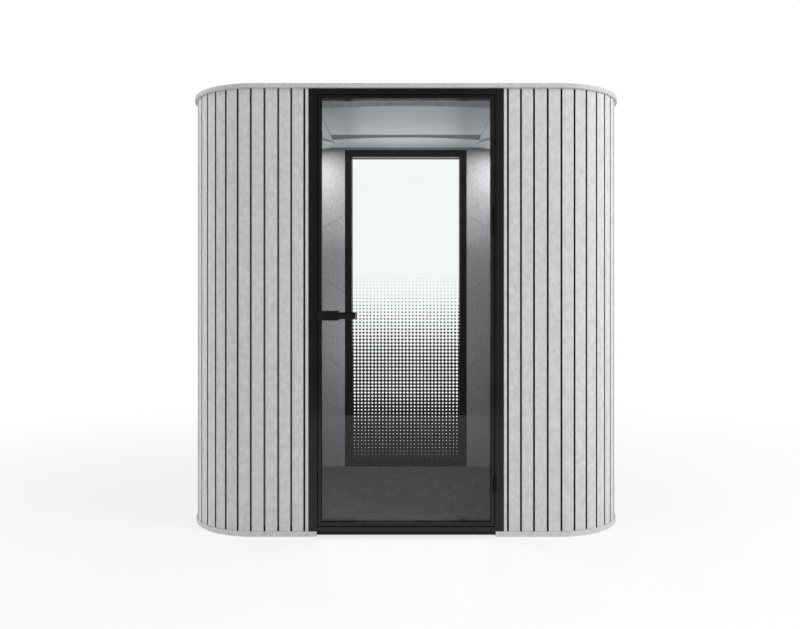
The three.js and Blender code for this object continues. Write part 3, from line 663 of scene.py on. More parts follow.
# %% [markdown]
# Two finishes are seldom seen. The wall cores are pressed mineral board, whose grey-brown crumb shows only
# if a panel is taken off. The lamps are painted pale grey, with a white diffuser that glows. The glow is
# only to be looked at: the lamps that light the cabin are made further on.

# %% Core board and lamp
core_board, tree, shader = new_material("core_board", 0.92)
crumb = cells(tree, on_piece(tree), 220.0)
colour(tree, shader, spread(tree, crumb, 0.0, 0.8), grey(120, 1.05, 0.95), grey(160, 1.04, 0.96))
bumped(tree, shader, crumb, 0.6 * mm, 0.6)

lamp_paint = coated("lamp_paint", 164, 0.42, 1200.0, 0.04 * mm, 0.1, red=0.93, blue=1.03)
diffuser, tree, shader = new_material("diffuser", 0.5, Emission_Strength=1.0)
diffuser.cycles.emission_sampling = "NONE"
prism = cells(tree, on_piece(tree), 180.0)
tree.links.new(tint(tree, prism, grey(250, 1.0, 0.98), grey(228, 1.0, 0.98)), shader["Emission Color"])
colour(tree, shader, prism, grey(244), grey(232))
bumped(tree, shader, prism, 0.3 * mm, 0.5)
print("Seldom seen:", core_board.name, lamp_paint.name, diffuser.name)

# %% [markdown]
# The wall is easiest to model unrolled. Laid flat, X is the distance round the wall from the middle of the
# front, Y the depth into the wall, and a slat is a plain upright bar. A closed curve follows the slat
# faces in plan, and a Curve modifier bends each flat piece round it. So a slat that starts on the flat and
# ends in the corner needs no special care.

# %% Wall line
slat_face_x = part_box("cladding_right")[1].x
slat_face_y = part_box("cladding_rear_right")[1].y
corner_radius = 374 * mm
corner_steps = 64
flat_x = slat_face_x - corner_radius
flat_y = slat_face_y - corner_radius
quarter = flat_x + corner_radius * math.pi / 2 + flat_y


def turned(angle, x, y):
    """A point turned about the upright axis."""
    return Matrix.Rotation(math.radians(angle), 3, "Z") @ Vector((x, y, 0))


def corner_points(side_x, side_y, first_angle):
    """The plan of one corner, with a point just before and after it that keeps the straights straight."""
    middle = Vector((side_x * flat_x, side_y * flat_y, 0))
    angles = [first_angle + 90 * step / corner_steps for step in range(corner_steps + 1)]
    arc = [middle + turned(angle, corner_radius, 0) for angle in angles]
    return [arc[0] + turned(first_angle, 0, -mm), *arc, arc[-1] + turned(first_angle + 90, 0, mm)]


plan = [Vector((0, -slat_face_y, 0))]
for side_x, side_y, first_angle in ((1, -1, -90), (1, 1, 0), (-1, 1, 90), (-1, -1, 180)):
    plan += corner_points(side_x, side_y, first_angle)
line = bpy.data.curves.new("wall_line", "CURVE")
line.dimensions = "3D"
line.twist_mode = "Z_UP"
spline = line.splines.new("POLY")
spline.points.add(len(plan) - 1)
for point, corner in zip(spline.points, plan):
    point.co = (*corner, 1)
spline.use_cyclic_u = True
wall_line = bpy.data.objects.new("wall_line", line)
bpy.context.scene.collection.objects.link(wall_line)


def bent(piece):
    """Wrap a flat piece round the wall."""
    apply(piece, "CURVE", object=wall_line, deform_axis="POS_X")
    return piece


print("Wall line:", round(4 * quarter / mm), "mm round")

# %% [markdown]
# Slats come in modules, as they are hung on site: one round each corner and one on each side. The grooves
# between them are where the modules' joints hide. The list of grooves follows the real spacing: the run
# beside a door or window keeps its own pitch, and its last slat is trimmed to fit.

# %% Slat spacing
slat_depth = 12 * mm
fleece_depth = 3 * mm
slat_gap = 8 * mm
fit_gap = 0.3 * mm
opening_pitch = 64.8 * mm
corner_straight = 115.5 * mm
corner_slats = 12
side_slats = 6
slat_low, slat_high = (corner.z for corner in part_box("cladding_right"))
door_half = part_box("jamb_hinge_side")[1].x
window_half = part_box("window_stile_right")[1].x

corner_start = flat_x - corner_straight
corner_end = quarter - flat_y + corner_straight
corner_pitch = (corner_end - corner_start) / corner_slats
side_half = quarter - corner_end
side_pitch = 2 * side_half / side_slats


def corner_spans(opening):
    """Where each slat of a corner module starts and ends, from an opening round the corner."""
    grooves = [corner_start + corner_pitch * step for step in range(corner_slats + 1)]
    while grooves[0] - opening_pitch > opening + slat_gap:
        grooves.insert(0, grooves[0] - opening_pitch)
    starts = [opening + fit_gap] + [groove + slat_gap / 2 for groove in grooves[:-1]]
    return list(zip(starts, (groove - slat_gap / 2 for groove in grooves)))


def laid(spans, quadrant):
    """Lay spans of the first quarter in another: 0 front right, 1 rear right, 2 rear left, 3 front left."""
    if quadrant % 2:
        base = (quadrant + 1) * quarter
        return [(base - end, base - start) for start, end in spans]
    return [(quadrant * quarter + start, quadrant * quarter + end) for start, end in spans]


def side_spans(middle):
    starts = [middle - side_half + side_pitch * step + slat_gap / 2 for step in range(side_slats)]
    return [(start, start + side_pitch - slat_gap) for start in starts]


modules = {
    "front_right": laid(corner_spans(door_half), 0),
    "rear_right": laid(corner_spans(window_half), 1),
    "rear_left": laid(corner_spans(window_half), 2),
    "front_left": laid(corner_spans(door_half), 3),
    "right": side_spans(quarter),
    "left": side_spans(3 * quarter),
}
print("Slats:", {place: len(spans) for place, spans in modules.items()})

# %% [markdown]
# A slat starts as a cube. Its long edges are divided so that it can bend, and its two outer upright edges
# are rounded, because felt never ends in a knife edge. It is modelled once for each width and copied.
# Only the face is pale. The sides of a slat, and the side half of its rounded edges, get the black of the
# fleece as painted shade, so that a groove stays dark from wherever it is seen. The thin fleece that runs
# behind a module is black itself.

# %% Slats
slat_columns = 7
slat_round = 1.8 * mm
slat_side_normal = 0.6
fleece_step = 12 * mm
fleece_round = 0.4 * mm
dice = random.Random(7)
slat_stock = {}


def new_slat(width):
    piece = block("slat", (0, 0, slat_low), (width, slat_depth, slat_high))
    columns(piece, slat_columns)
    bevelled(piece, slat_round, 3, lambda edge: runs(edge, Z) and at(edge, Y, 0) and at(edge, X, 0, width))
    return piece


def slat(start, end):
    """A copy of the slat of this width, with its own number for the felt pattern."""
    width = round(end - start, 6)
    if width not in slat_stock:
        slat_stock[width] = new_slat(width)
    piece = copied(slat_stock[width], (start, 0, 0))
    number = piece.data.attributes.new("strip", "FLOAT", "POINT")
    number.data.foreach_set("value", [dice.random()] * len(piece.data.vertices))
    return piece


for place, spans in modules.items():
    strip_of_slats = joined([slat(start, end) for start, end in spans])
    # The slats' sides take the fleece's black: painted shade in the grooves.
    paint(strip_of_slats, 1, lambda face: abs(face.normal.x) > slat_side_normal)
    modules[place] = bent(strip_of_slats)
    first, last = spans[0][0], spans[-1][1]
    fleece = block("fleece", (first, slat_depth, slat_low), (last, slat_depth + fleece_depth, slat_high))
    columns(fleece, round((last - first) / fleece_step))
    eased(fleece, fleece_round)
    dress(bent(fleece), f"fleece_{place}", "pod", [black_fleece_and_groove_shade])
for piece in slat_stock.values():
    bpy.data.objects.remove(piece)
print("Slat widths cut:", [round(width / mm, 1) for width in slat_stock])

# %% [markdown]
# The power inlet sits in the rear cladding near the floor, so its opening is cut through the slats there.
# A boolean does it: the cutter is the inlet's body with a little room round it.

# %% Inlet opening and cladding
inlet_low, inlet_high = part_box("power_inlet")
inlet_middle = (inlet_low + inlet_high) / 2
recess_half_width = 22.3 * mm
recess_half_height = 13.3 * mm
recess = block(
    "recess",
    (inlet_middle.x - recess_half_width, inlet_low.y - fit_gap, inlet_middle.z - recess_half_height),
    (inlet_middle.x + recess_half_width, inlet_high.y, inlet_middle.z + recess_half_height),
)
cut_away(modules["rear_right"], recess)
for place, piece in modules.items():
    dress(piece, f"slats_{place}", "pod", [pale_felt, black_fleece_and_groove_shade], [f"cladding_{place}"])

# %% [markdown]
# The skirt is one band of felt-covered board that runs from one side of the door right round to the other.
# It stands a few millimetres proud of the slats, and its ends reach in under the jambs. Unrolled it is one
# long bar, rounded on its outer edges.

# %% Base skirt
skirt_low, skirt_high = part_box("base_skirt")
skirt_proud = skirt_high.y - slat_face_y
skirt_lap = 39 * mm
skirt_round = 2.5 * mm
skirt_start = door_half - skirt_lap
skirt_end = 4 * quarter - skirt_start
skirt_back = slat_depth + fleece_depth
skirt_cuts = (99, 2)
skirt = block("skirt", (skirt_start, -skirt_proud, skirt_low.z), (skirt_end, skirt_back, skirt_high.z))
columns(skirt, *skirt_cuts)


def on_skirt_rim(edge):
    return at(edge, Y, -skirt_proud) and (runs(edge, X) or at(edge, X, skirt_start, skirt_end))


bevelled(skirt, skirt_round, 3, on_skirt_rim)
dress(bent(skirt), "skirt_band", "pod", [pale_felt], ["base_skirt"])

# %% [markdown]
# The roof is one felt-covered panel with the same round corners. Bevelling the four upright edges of a
# cube by the corner radius gives the plan, and a small bevel all round softens the rim. A thin groove in
# the top marks where the edge band meets the top sheet.

# %% Roof panel
roof_low, roof_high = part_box("roof_panel")
roof_overhang = roof_high.y - slat_face_y
roof_corner = corner_radius + roof_overhang
roof_corner_steps = 40
roof_round = 3.5 * mm
band_width = 9 * mm
band_groove = 1.4 * mm
groove_middle = roof_round + band_width + band_groove / 2


def rim_distance(point):
    """How far a point lies inside the roof's outline."""
    out_x = abs(point.x) - (roof_high.x - roof_corner)
    out_y = abs(point.y) - (roof_high.y - roof_corner)
    if out_x > 0 and out_y > 0:
        return roof_corner - math.hypot(out_x, out_y)
    return roof_corner - max(out_x, out_y)


def in_groove(face):
    inwards = rim_distance(face.calc_center_median())
    return at(face, Z, roof_high.z) and abs(inwards - groove_middle) < mm


roof = block("roof", roof_low, roof_high)
bevelled(roof, roof_corner, roof_corner_steps, lambda edge: runs(edge, Z))
bevelled(roof, roof_round, 4, lambda edge: at(edge, Z, roof_low.z, roof_high.z))
edit(roof)
pick("faces", lambda face: at(face, Z, roof_high.z))
bpy.ops.mesh.inset(thickness=band_width)
bpy.ops.mesh.inset(thickness=band_groove)
pick("faces", in_groove)
extrude_up(-band_groove)
leave()
print("Roof:", len(roof.data.polygons), "faces before its slots")

# %% [markdown]
# Over each fan a round patch of slots lets the warm air out. A slot is a block with rounded ends, as long
# as the circle is wide at its place. All of them are joined and cut out in one boolean.

# %% Roof slots
fan_half_spacing = 160 * mm
fan_middle_y = -100 * mm
fan_bore = 56 * mm
slot_pitch = 14 * mm
slot_width = 7 * mm
slot_round = slot_width * 0.49
slots_per_fan = 7
past = 1 * mm


def roof_slot(x, half):
    cutter = block(
        "slot",
        (x - slot_width / 2, fan_middle_y - half, roof_low.z - past),
        (x + slot_width / 2, fan_middle_y + half, roof_high.z + past),
    )
    bevelled(cutter, slot_round, 5, lambda edge: runs(edge, Z))
    return cutter


cutters = []
for side in (-1, 1):
    for step in range(slots_per_fan):
        offset = (step - (slots_per_fan - 1) / 2) * slot_pitch
        half = math.sqrt(fan_bore**2 - offset**2)
        cutters.append(roof_slot(side * fan_half_spacing + offset, half))
cut_away(roof, joined(cutters))
dress(roof, "roof_felt_panel", "pod", [roof_felt], ["roof_panel"])

# %% [markdown]
# A screw head is a disc with a rounded rim and a socket in its face. One helper makes them all: a head is
# modelled lying flat, then turned to where it faces and moved to its place. The roof is held by screws
# through its board, and its felt covers their heads, so they don't show.

# %% Screws
screw_sides = 24
screw_sunk = 1.2 * mm
screw_rim = 0.25 * mm
socket_inset = 0.45
socket_depth = 0.35


def screw(place, radius, proud, facing):
    """A screw head that faces along an axis. The socket's size is a share of its radius."""
    head = disc("screw", radius, (0, 0), -screw_sunk, proud, screw_sides)
    bevelled(head, screw_rim, 2, lambda edge: at(edge, Z, proud))
    edit(head)
    pick("faces", lambda face: at(face, Z, proud))
    bpy.ops.mesh.inset(thickness=radius * socket_inset)
    extrude_up(-radius * socket_depth)
    leave()
    turn = Vector((0, 0, 1)).rotation_difference(Vector(facing)).to_matrix().to_4x4()
    head.data.transform(Matrix.Translation(place) @ turn)
    return head


def screws(places, radius, proud, facing):
    return joined([screw(place, radius, proud, facing) for place in places])


roof_screw_radius = 5 * mm
roof_screw_proud = 0.6 * mm
roof_screw_inset = 50 * mm
roof_screw_x = (flat_x - 10 * mm, 560 * mm)
roof_screw_y = 200 * mm
roof_screw_z = roof_high.z - 1 * mm
signs = [(side_x, side_y) for side_x in (-1, 1) for side_y in (-1, 1)]
front_y, right_x = slat_face_y - roof_screw_inset, slat_face_x - roof_screw_inset
places = [(side_x * x, side_y * front_y, roof_screw_z) for side_x, side_y in signs for x in roof_screw_x]
places += [(side_x * right_x, side_y * roof_screw_y, roof_screw_z) for side_x, side_y in signs]
roof_screws = screws(places, roof_screw_radius, roof_screw_proud, (0, 0, 1))
dress(roof_screws, "roof_screws", "pod", [black_coat])

# %% [markdown]
# Frame, leaf and window profiles have the right section already. What a CAD solid lacks is the small
# radius that every coated edge has, and the thin highlight that runs along it. So each one is copied,
# merged back into whole faces, and eased by a millimetre or so. The leaf's rails have the largest radius,
# in four steps, because the bright room draws thin lines along it.

# %% Profiles
profile_ease = 0.7 * mm
rail_ease = 1.2 * mm
frame_bars = ("jamb_latch_side", "jamb_hinge_side", "door_header", "door_sill")
window_bars = ("window_stile_left", "window_stile_right", "window_rail_bottom", "window_rail_top")
leaf_stiles = ("leaf_stile_latch", "leaf_stile_hinge")
leaf_rails = ("leaf_rail_bottom", "leaf_rail_top")
for bars, body, finish, ease, segments in (
    (frame_bars, "pod", black_coat, profile_ease, 2),
    (window_bars, "pod", window_coat, profile_ease, 2),
    (leaf_stiles, "door", black_coat, profile_ease, 2),
    (leaf_rails, "door", black_coat, rail_ease, 4),
):
    for node in bars:
        dress_again(node, f"{node}_eased", body, [finish], ease, segments)

# %% [markdown]
# A pane is held by rubber beads pressed in between it and the profile, one on each face. A bead is a
# rectangle with a hole: the big faces of a block are inset together, bridged through, and the bead's
# edges are rounded.

# %% Glazing beads
bead_width = 1.5 * mm
bead_depth = 2.5 * mm
bead_round = 0.8 * mm
seal_round = 1.2 * mm


def bead(half, low, high, start, end):
    piece = block("bead", (-half, start, low), (half, end, high))
    edit(piece)
    pick("faces", lambda face: at(face, Y, start, end))
    bpy.ops.mesh.inset(thickness=bead_width)
    bpy.ops.mesh.bridge_edge_loops()
    leave()
    return eased(piece, bead_round, 3)


for holder, pane, stile, body, front_bead, back_bead in (
    ("leaf", "door_glass", "leaf_stile_hinge", "door", "leaf_bead_outer", "leaf_bead_inner"),
    ("window", "window_glass", "window_stile_right", "pod", "window_bead_inner", "window_bead_outer"),
):
    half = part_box(stile)[0].x
    low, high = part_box(f"{holder}_rail_bottom")[1].z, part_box(f"{holder}_rail_top")[0].z
    front, back = (corner.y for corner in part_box(pane))
    spots = ((front_bead, front - bead_depth, front), (back_bead, back, back + bead_depth))
    for name, start, end in spots:
        dress(bead(half, low, high, start, end), name, body, [black_rubber])
dress_again("door_gasket", "door_seal", "pod", [black_rubber], seal_round, 3)
keep(glass, "door_glass", "window_glass")
keep(film, "privacy_film")

# %% [markdown]
# Hinges show as two dark barrels in the gap on the right. Each half is a plate with knuckles round a
# blackened pin, and the plates are screwed into the door and the frame, where the screws show only when
# the door stands open. Their black is matt, because a glossy barrel would catch a bright line of light.

# %% Hinges
plate_ease = 0.3 * mm
plate_screw_radius = 3.2 * mm
plate_screw_proud = 0.1 * mm
plate_screw_depth = 24 * mm
pin_low, pin_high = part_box("hinge_upper_pin")
hinge_axis_x = (pin_low.x + pin_high.x) / 2


def plate_screws(node, facing, count):
    """Screws down a hinge plate, on the face that looks into the gap."""
    low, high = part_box(node)
    step = (high.z - low.z) / count
    face_x = hinge_axis_x - facing * fit_gap
    heights = [low.z + step * (index + 0.5) for index in range(count)]
    places = [(face_x, plate_screw_depth - slat_face_y, height) for height in heights]
    return screws(places, plate_screw_radius, plate_screw_proud, (facing, 0, 0))


for place, count in (("upper", 4), ("lower", 2)):
    for half, body, facing in (("frame", "pod", -1), ("door", "door", 1)):
        node = f"hinge_{place}_{half}_plate"
        dress_again(node, f"{node}_eased", body, [hinge_black], plate_ease)
        dress(plate_screws(node, facing, count), f"{node}_screws", body, [zinc])
keep(zinc, "lock_spindle")
keep(hinge_black, "hinge_upper_pin", "hinge_lower_pin")

# %% [markdown]
# The lock is a pair of cases clamped over the stile and the pane, with a lever on a square spindle on
# each side. Cases are moulded and levers are held by hand, so their edges are rounder than those of the
# profiles. The bolt and the strike plate are zinc-plated steel.

# %% Lock, levers and latch
case_round = 1.6 * mm
lever_round = 1.5 * mm
bolt_round = 0.6 * mm
strike_round = 0.4 * mm
strike_screw_radius = 3.4 * mm
strike_screw_proud = 0.2 * mm
strike_screw_inset = 10 * mm
for node, name, body, slot, finish, ease, segments in (
    ("lock_case_outer", "lock_cover_outer", "door", "black_plastic", black_plastic, case_round, 3),
    ("lock_case_inner", "lock_cover_inner", "door", "black_plastic", black_plastic, case_round, 3),
    ("lever_outer", "lever_handle_outer", "lever", "black_profile", black_coat, lever_round, 3),
    ("lever_inner", "lever_handle_inner", "lever", "black_profile", black_coat, lever_round, 3),
    ("latch_bolt", "latch_bolt_eased", "latch", "zinc_steel", zinc, bolt_round, 2),
    ("strike_plate", "strike_plate_eased", "pod", "zinc_steel", zinc, strike_round, 2),
):
    dress_again(node, name, body, [finish], ease, segments)
strike_low, strike_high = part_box("strike_plate")
heights = (strike_low.z + strike_screw_inset, strike_high.z - strike_screw_inset)
places = [(strike_high.x, (strike_low.y + strike_high.y) / 2, height) for height in heights]
strike_screws = screws(places, strike_screw_radius, strike_screw_proud, (1, 0, 0))
dress(strike_screws, "strike_screws", "pod", [zinc])

# %% [markdown]
# The inner walls are lined with one sheet of dark felt on each side. Shallow V grooves are cut into it in
# a zigzag, which breaks up the plain surface. Like the slats, the lining is modelled unrolled: the grooves
# are cut by bisecting the faces along sloping planes, three close cuts for each groove, and the middle
# line is then pressed into the felt.

# %% Helpers that score a groove
def score(piece, faces, point, normal, apart):
    """Cut the faces that pass a test three times over, side by side."""
    edit(piece)
    for step in (-1, 0, 1):
        pick("faces", faces)
        bpy.ops.mesh.bisect(plane_co=Vector(point) + step * Vector(apart), plane_no=normal)
    leave()


def press(piece, verts, push):
    """Press the middle line of a score into the piece."""
    edit(piece)
    pressed = pick("verts", verts)
    bpy.ops.transform.translate(value=push)
    leave()
    return pressed


print("Scoring: three cuts, and the middle one pressed in")

# %% Lining
lining_face = 100 * mm
lining_back = 88 * mm
lining_low, lining_high = (corner.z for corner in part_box("lining_right"))
lining_first = door_half + fit_gap
lining_last = 2 * quarter - window_half - fit_gap
lining_columns = 300
column_width = (lining_last - lining_first) / lining_columns
seam_columns = 47
seam_run = seam_columns * column_width
seam_slope = 0.6
seam_half_width = 2.1 * mm
seam_depth = 2.8 * mm
window_end_of_seams = ((1739 * mm, -1), (1225 * mm, 1), (715 * mm, 1))

lining = block("lining", (lining_first, lining_back, lining_low), (lining_last, lining_face, lining_high))
columns(lining, lining_columns // 3 - 1, 2)


def seam_height(x, start, way):
    """The height of a zigzag seam at a place along the lining. It starts at the window."""
    travelled = (lining_last - x) / seam_run
    folded = abs(travelled - 2 * round(travelled / 2))
    return start + way * folded * seam_slope * seam_run


def cut_run(start, way, turn):
    """Score one straight run of a zigzag."""
    near_x = lining_last - turn * seam_run
    far_x = max(near_x - seam_run, lining_first)
    height = seam_height(near_x, start, way)
    rise = seam_height(far_x, start, way) - height

    def in_run(face):
        return far_x < face.calc_center_median().x < near_x and at(face, Y, lining_face)

    across_run = (-rise, 0, far_x - near_x)
    score(lining, in_run, (near_x, lining_face, height), across_run, (0, 0, seam_half_width))


def press_seam(start, way):
    def on_seam(vert):
        return at(vert, Y, lining_face) and abs(vert.co.z - seam_height(vert.co.x, start, way)) < near

    return press(lining, on_seam, (0, -seam_depth, 0))


for start, way in window_end_of_seams:
    for turn in range(math.ceil((lining_last - lining_first) / seam_run)):
        cut_run(start, way, turn)
for start, way in window_end_of_seams:
    print("Seam pressed in at", press_seam(start, way), "points")
bent(lining)
dress(opposite(lining), "felt_lining_left", "pod", [dark_felt], ["lining_left"])
dress(lining, "felt_lining_right", "pod", [dark_felt], ["lining_right"])
bpy.data.objects.remove(wall_line)

# %% [markdown]
# The ceiling is a felt board with two satin panels hung just below it. The rear panel reaches round the
# front one. The slot between them and the strip in front of them are filled with felt, almost flush with
# the panels, which lets air through. The slot's felt is a darker copy of the ceiling felt: the shadow in
# the slot is painted into it as shade. A shallow fold in line with the slot's ends stiffens the rear
# panel, and is scored as the seams are. A strip of the lining felt covers the joint between the ceiling
# and the window frame.

# %% Ceiling
panel_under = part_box("ceiling_panel_rear")[0].z
panel_ease = 0.5 * mm
fold_x = 465 * mm
fold_half_width = 1.2 * mm
fold_depth = 0.9 * mm
fold_front = 300 * mm
cover_height = 13.5 * mm
cover_depth = 2 * mm
cover_lap = 3 * mm
cover_round = 0.8 * mm

strip_half = 740 * mm
strip_front, strip_rear = -588 * mm, -448.5 * mm
slot_half = 461 * mm
slot_front, slot_rear = 150 * mm, 345 * mm
felt_under, felt_top = panel_under + 0.6 * mm, panel_under + 2.8 * mm
# The slot's felt is the darker copy, with painted shade; the strip's is the plain ceiling felt.
for place, half, front, rear, finish in (
    ("strip", strip_half, strip_front, strip_rear, ceiling_felt),
    ("slot", slot_half, slot_front, slot_rear, slot_felt_painted_shade),
):
    infill = block("infill", (-half, front, felt_under), (half, rear, felt_top))
    cut_away(infill, merged_copy("ceiling_panel_front"))
    cut_away(infill, merged_copy("ceiling_panel_rear"))
    dress(infill, f"ceiling_{place}_felt", "pod", [finish])


def under_panel(face):
    return at(face, Z, panel_under)


def on_fold(vert, fold):
    return at(vert, Z, panel_under) and at(vert, X, fold) and vert.co.y > fold_front


rear_panel = merged_copy("ceiling_panel_rear")
for fold in (-fold_x, fold_x):
    score(rear_panel, under_panel, (fold, 0, panel_under), (1, 0, 0), (fold_half_width, 0, 0))
    pressed = press(rear_panel, lambda vert: on_fold(vert, fold), (0, 0, fold_depth))
    print("Fold pressed in at", pressed, "points")
dress(rear_panel, "ceiling_sheet_rear", "pod", [satin], ["ceiling_panel_rear"])
dress_again("ceiling_panel_front", "ceiling_sheet_front", "pod", [satin], panel_ease)
window_top_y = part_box("window_rail_top")[0].y
cover = block(
    "cover",
    (-window_half, window_top_y - cover_depth, panel_under - cover_height),
    (window_half, window_top_y, panel_under + cover_lap),
)
dress(eased(cover, cover_round), "window_cover_strip", "pod", [dark_felt])
keep(ceiling_felt, "ceiling_board")
keep(black_plastic, "fan_tray", "fan_rotor_left", "fan_rotor_right")

# %% [markdown]
# Two round lamps hang under the rear panel and wash the rear wall with light. Each is a flat drum with a
# rounded rim, a well with the diffuser at its end, and a neck that goes up through the panel. The light
# itself comes from a disc-shaped lamp level with the rim. It stands a hand's width in front of the drum's
# middle, which spreads the glow on the walls as in the photo.

# %% Downlights
rim_round = 3 * mm
rim_width = 8 * mm
rim_groove = 1 * mm
well_radius = 38 * mm
well_depth = 17 * mm
well_round = 1.5 * mm
neck_radius = 45 * mm
drum_sides = 72
light_ahead = 100 * mm
light_below = 0.5 * mm
lamp_power = 8.7
lamp_colour = (1.0, 0.99, 0.97)


def add_lamp(kind, place, power):
    """Add a lamp that lights the scene, but isn't seen by the camera, through glass or in mirrors."""
    deselect()
    bpy.ops.object.light_add(type=kind, location=place)
    lamp = bpy.context.active_object
    lamp.data.energy = power
    lamp.visible_camera = False
    lamp.visible_transmission = False
    lamp.visible_glossy = False
    return lamp


def inside(edge, centre, radius):
    """Whether an edge lies within a circle seen from above."""
    return all((vert.co.xy - centre.xy).length < radius + near for vert in edge.verts)


def downlight(node):
    low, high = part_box(node)
    centre = (low + high) / 2
    radius = (high.x - low.x) / 2
    rim_top = panel_under - fit_gap
    mouth = low.z + rim_groove
    drum = disc(node, radius, centre, low.z, rim_top, drum_sides)
    edit(drum)
    pick("faces", lambda face: at(face, Z, rim_top))
    bpy.ops.mesh.inset(thickness=radius - neck_radius)
    extrude_up(high.z - rim_top)
    leave()
    bevelled(drum, rim_round, 4, lambda edge: at(edge, Z, low.z))
    edit(drum)
    pick("faces", lambda face: at(face, Z, low.z) and len(face.verts) > 4)
    bpy.ops.mesh.inset(thickness=rim_width)
    extrude_up(rim_groove)
    bpy.ops.mesh.inset(thickness=radius - rim_round - rim_width - well_radius)
    extrude_up(well_depth)
    leave()
    bevelled(drum, well_round, 3, lambda edge: at(edge, Z, mouth) and inside(edge, centre, well_radius))
    dress(drum, f"{node}_drum", "pod", [lamp_paint, diffuser], [node])
    paint(drum, 1, lambda face: abs(face.center.z - mouth - well_depth) < near and face.normal.z < -0.9)
    lamp = add_lamp("AREA", (centre.x, centre.y - light_ahead, low.z - light_below), lamp_power)
    lamp.data.shape = "DISK"
    lamp.data.size = 2 * well_radius
    lamp.data.color = lamp_colour


downlight("downlight_left")
downlight("downlight_right")

# %% [markdown]
# The pod stands on four screw feet in the floor deck. A foot is a plate, a hexagon to hold a spanner, and
# a stem. Each is a disc with its edges rounded, the hexagon one with six sides, and the three are joined.

# %% Feet
foot_plate = 6 * mm
foot_round = 1.5 * mm
nut_radius = 13 * mm
nut_height = 5 * mm
nut_sunk = 0.5 * mm
nut_round = 0.8 * mm
stem_radius = 8 * mm
plate_sides = 48
nut_sides = 6
stem_sides = 32


def foot(node, body):
    low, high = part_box(node)
    radius = (high.x - low.x) / 2
    middle = (low + high) / 2
    plate_top = low.z + foot_plate
    nut_top = plate_top + nut_height
    plate = disc(node, radius, middle, low.z, plate_top, plate_sides)
    bevelled(plate, foot_round, 3, lambda edge: at(edge, Z, low.z, plate_top))
    nut = disc(node, nut_radius, middle, plate_top - nut_sunk, nut_top, nut_sides)
    bevelled(nut, nut_round, 2, lambda edge: at(edge, Z, nut_top))
    stem = disc(node, stem_radius, middle, plate_top, high.z, stem_sides)
    bevelled(stem, nut_round, 2, lambda edge: at(edge, Z, high.z))
    dress(joined([plate, nut, stem]), f"{node}_screw", body, [zinc], [node])


for end, end_letter in (("front", "f"), ("rear", "r")):
    for side, side_letter in (("left", "l"), ("right", "r")):
        foot(f"foot_{end}_{side}", f"foot_{end_letter}{side_letter}")
keep(deck_black, "floor_deck")
keep(carpet, "carpet")
keep(core_board, *[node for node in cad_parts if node.startswith("core_")])

# %% [markdown]
# The power inlet is a moulded socket with three flat pins, held by two screws. Its pins are part of the
# same solid, so they are told from the moulding by their place, and get the metal finish face by face.

# %% Power inlet
inlet_ease = 0.4 * mm
pin_zone = (11 * mm, 8 * mm)
pin_reach = 15.5 * mm
flange_screw_x = 25 * mm
flange_screw_radius = 2.2 * mm
flange_screw_proud = 0.3 * mm
inlet = dress_again("power_inlet", "power_socket", "pod", [black_plastic, zinc], inlet_ease)


def on_pin(face):
    across, up = abs(face.center.x - inlet_middle.x), abs(face.center.z - inlet_middle.z)
    return across < pin_zone[0] and up < pin_zone[1] and face.center.y > inlet_high.y - pin_reach


paint(inlet, 1, on_pin)
places = [(inlet_middle.x + side * flange_screw_x, inlet_high.y, inlet_middle.z) for side in (-1, 1)]
inlet_screws = screws(places, flange_screw_radius, flange_screw_proud, (0, 1, 0))
dress(inlet_screws, "inlet_screws", "pod", [zinc])

# %% [markdown]
# The pod is shown on a pale floor that runs off into white. Close to the pod the floor takes its shadow.
# Farther off it turns into plain white for the camera and for rays through the glass, so that the window
# shows a bright room and nothing has to be overlit. Mirror rays see it plain too, dimmer in front of the
# pod and white behind it, which keeps the door glass clear and still gives the rails their lines of
# light. Rays that spread from a dull surface don't see the white, so it doesn't light the pod.

# %% Floor
floor_front = 4.5
floor_reach = 30.0
fade_start = 1.3
fade_end = 4.0
fade_squeeze = 0.8
white_near = 0.68
floor_in_mirrors = 0.45
mirrors_full = 2.0
floor_paint, tree, shader = new_material("floor_paint", 0.65)
floor_paint.cycles.emission_sampling = "NONE"
place = on_piece(tree)
split = axes(tree, place)
squeezed = put(tree, "CombineXYZ", {"X": maths(tree, "MULTIPLY", split["X"], fade_squeeze), "Y": split["Y"]})
oval = put(tree, "VectorMath", {0: squeezed.outputs[0]}, operation="LENGTH").outputs["Value"]
colour(tree, shader, noise(tree, place, 3.0, 5.0), grey(240), grey(246))
fade = spread(tree, oval, fade_start, fade_end, white_near, 1.0)
rays = put(tree, "LightPath").outputs
seen = maths(tree, "MAXIMUM", rays["Is Camera Ray"], rays["Is Transmission Ray"])
mirrored = maths(tree, "MINIMUM", rays["Glossy Depth"], 1.0)
share = maths(tree, "MAXIMUM", maths(tree, "MULTIPLY", fade, seen), mirrored)
in_mirrors = spread(tree, split["Y"], 0.0, mirrors_full, floor_in_mirrors, 1.0)
brightness = put(tree, "Mix", {0: mirrored, 2: 1.0, 3: in_mirrors}).outputs[0]
white = put(tree, "Emission", {"Color": (1, 1, 1, 1), "Strength": brightness}).outputs[0]
swap_in(tree, share, white)

deselect()
bpy.ops.mesh.primitive_plane_add(size=floor_reach, location=(0, floor_reach / 2 - floor_front, 0))
floor = begun("floor")
floor.data.materials.append(floor_paint)
print("Floor: plain paint within", fade_start, "m, white beyond", fade_end, "m")

# %% [markdown]
# The light is that of a bright studio. The world gives an even sky, seen as plain white from the camera
# and, a trace brighter, through the glass, which makes up for what the panes take. As light it is brighter
# from the sides, and more from the left. For mirror rays it is white behind the pod, dimmer to the right,
# and dimmest behind the camera, so that the door glass shows only a light veil.

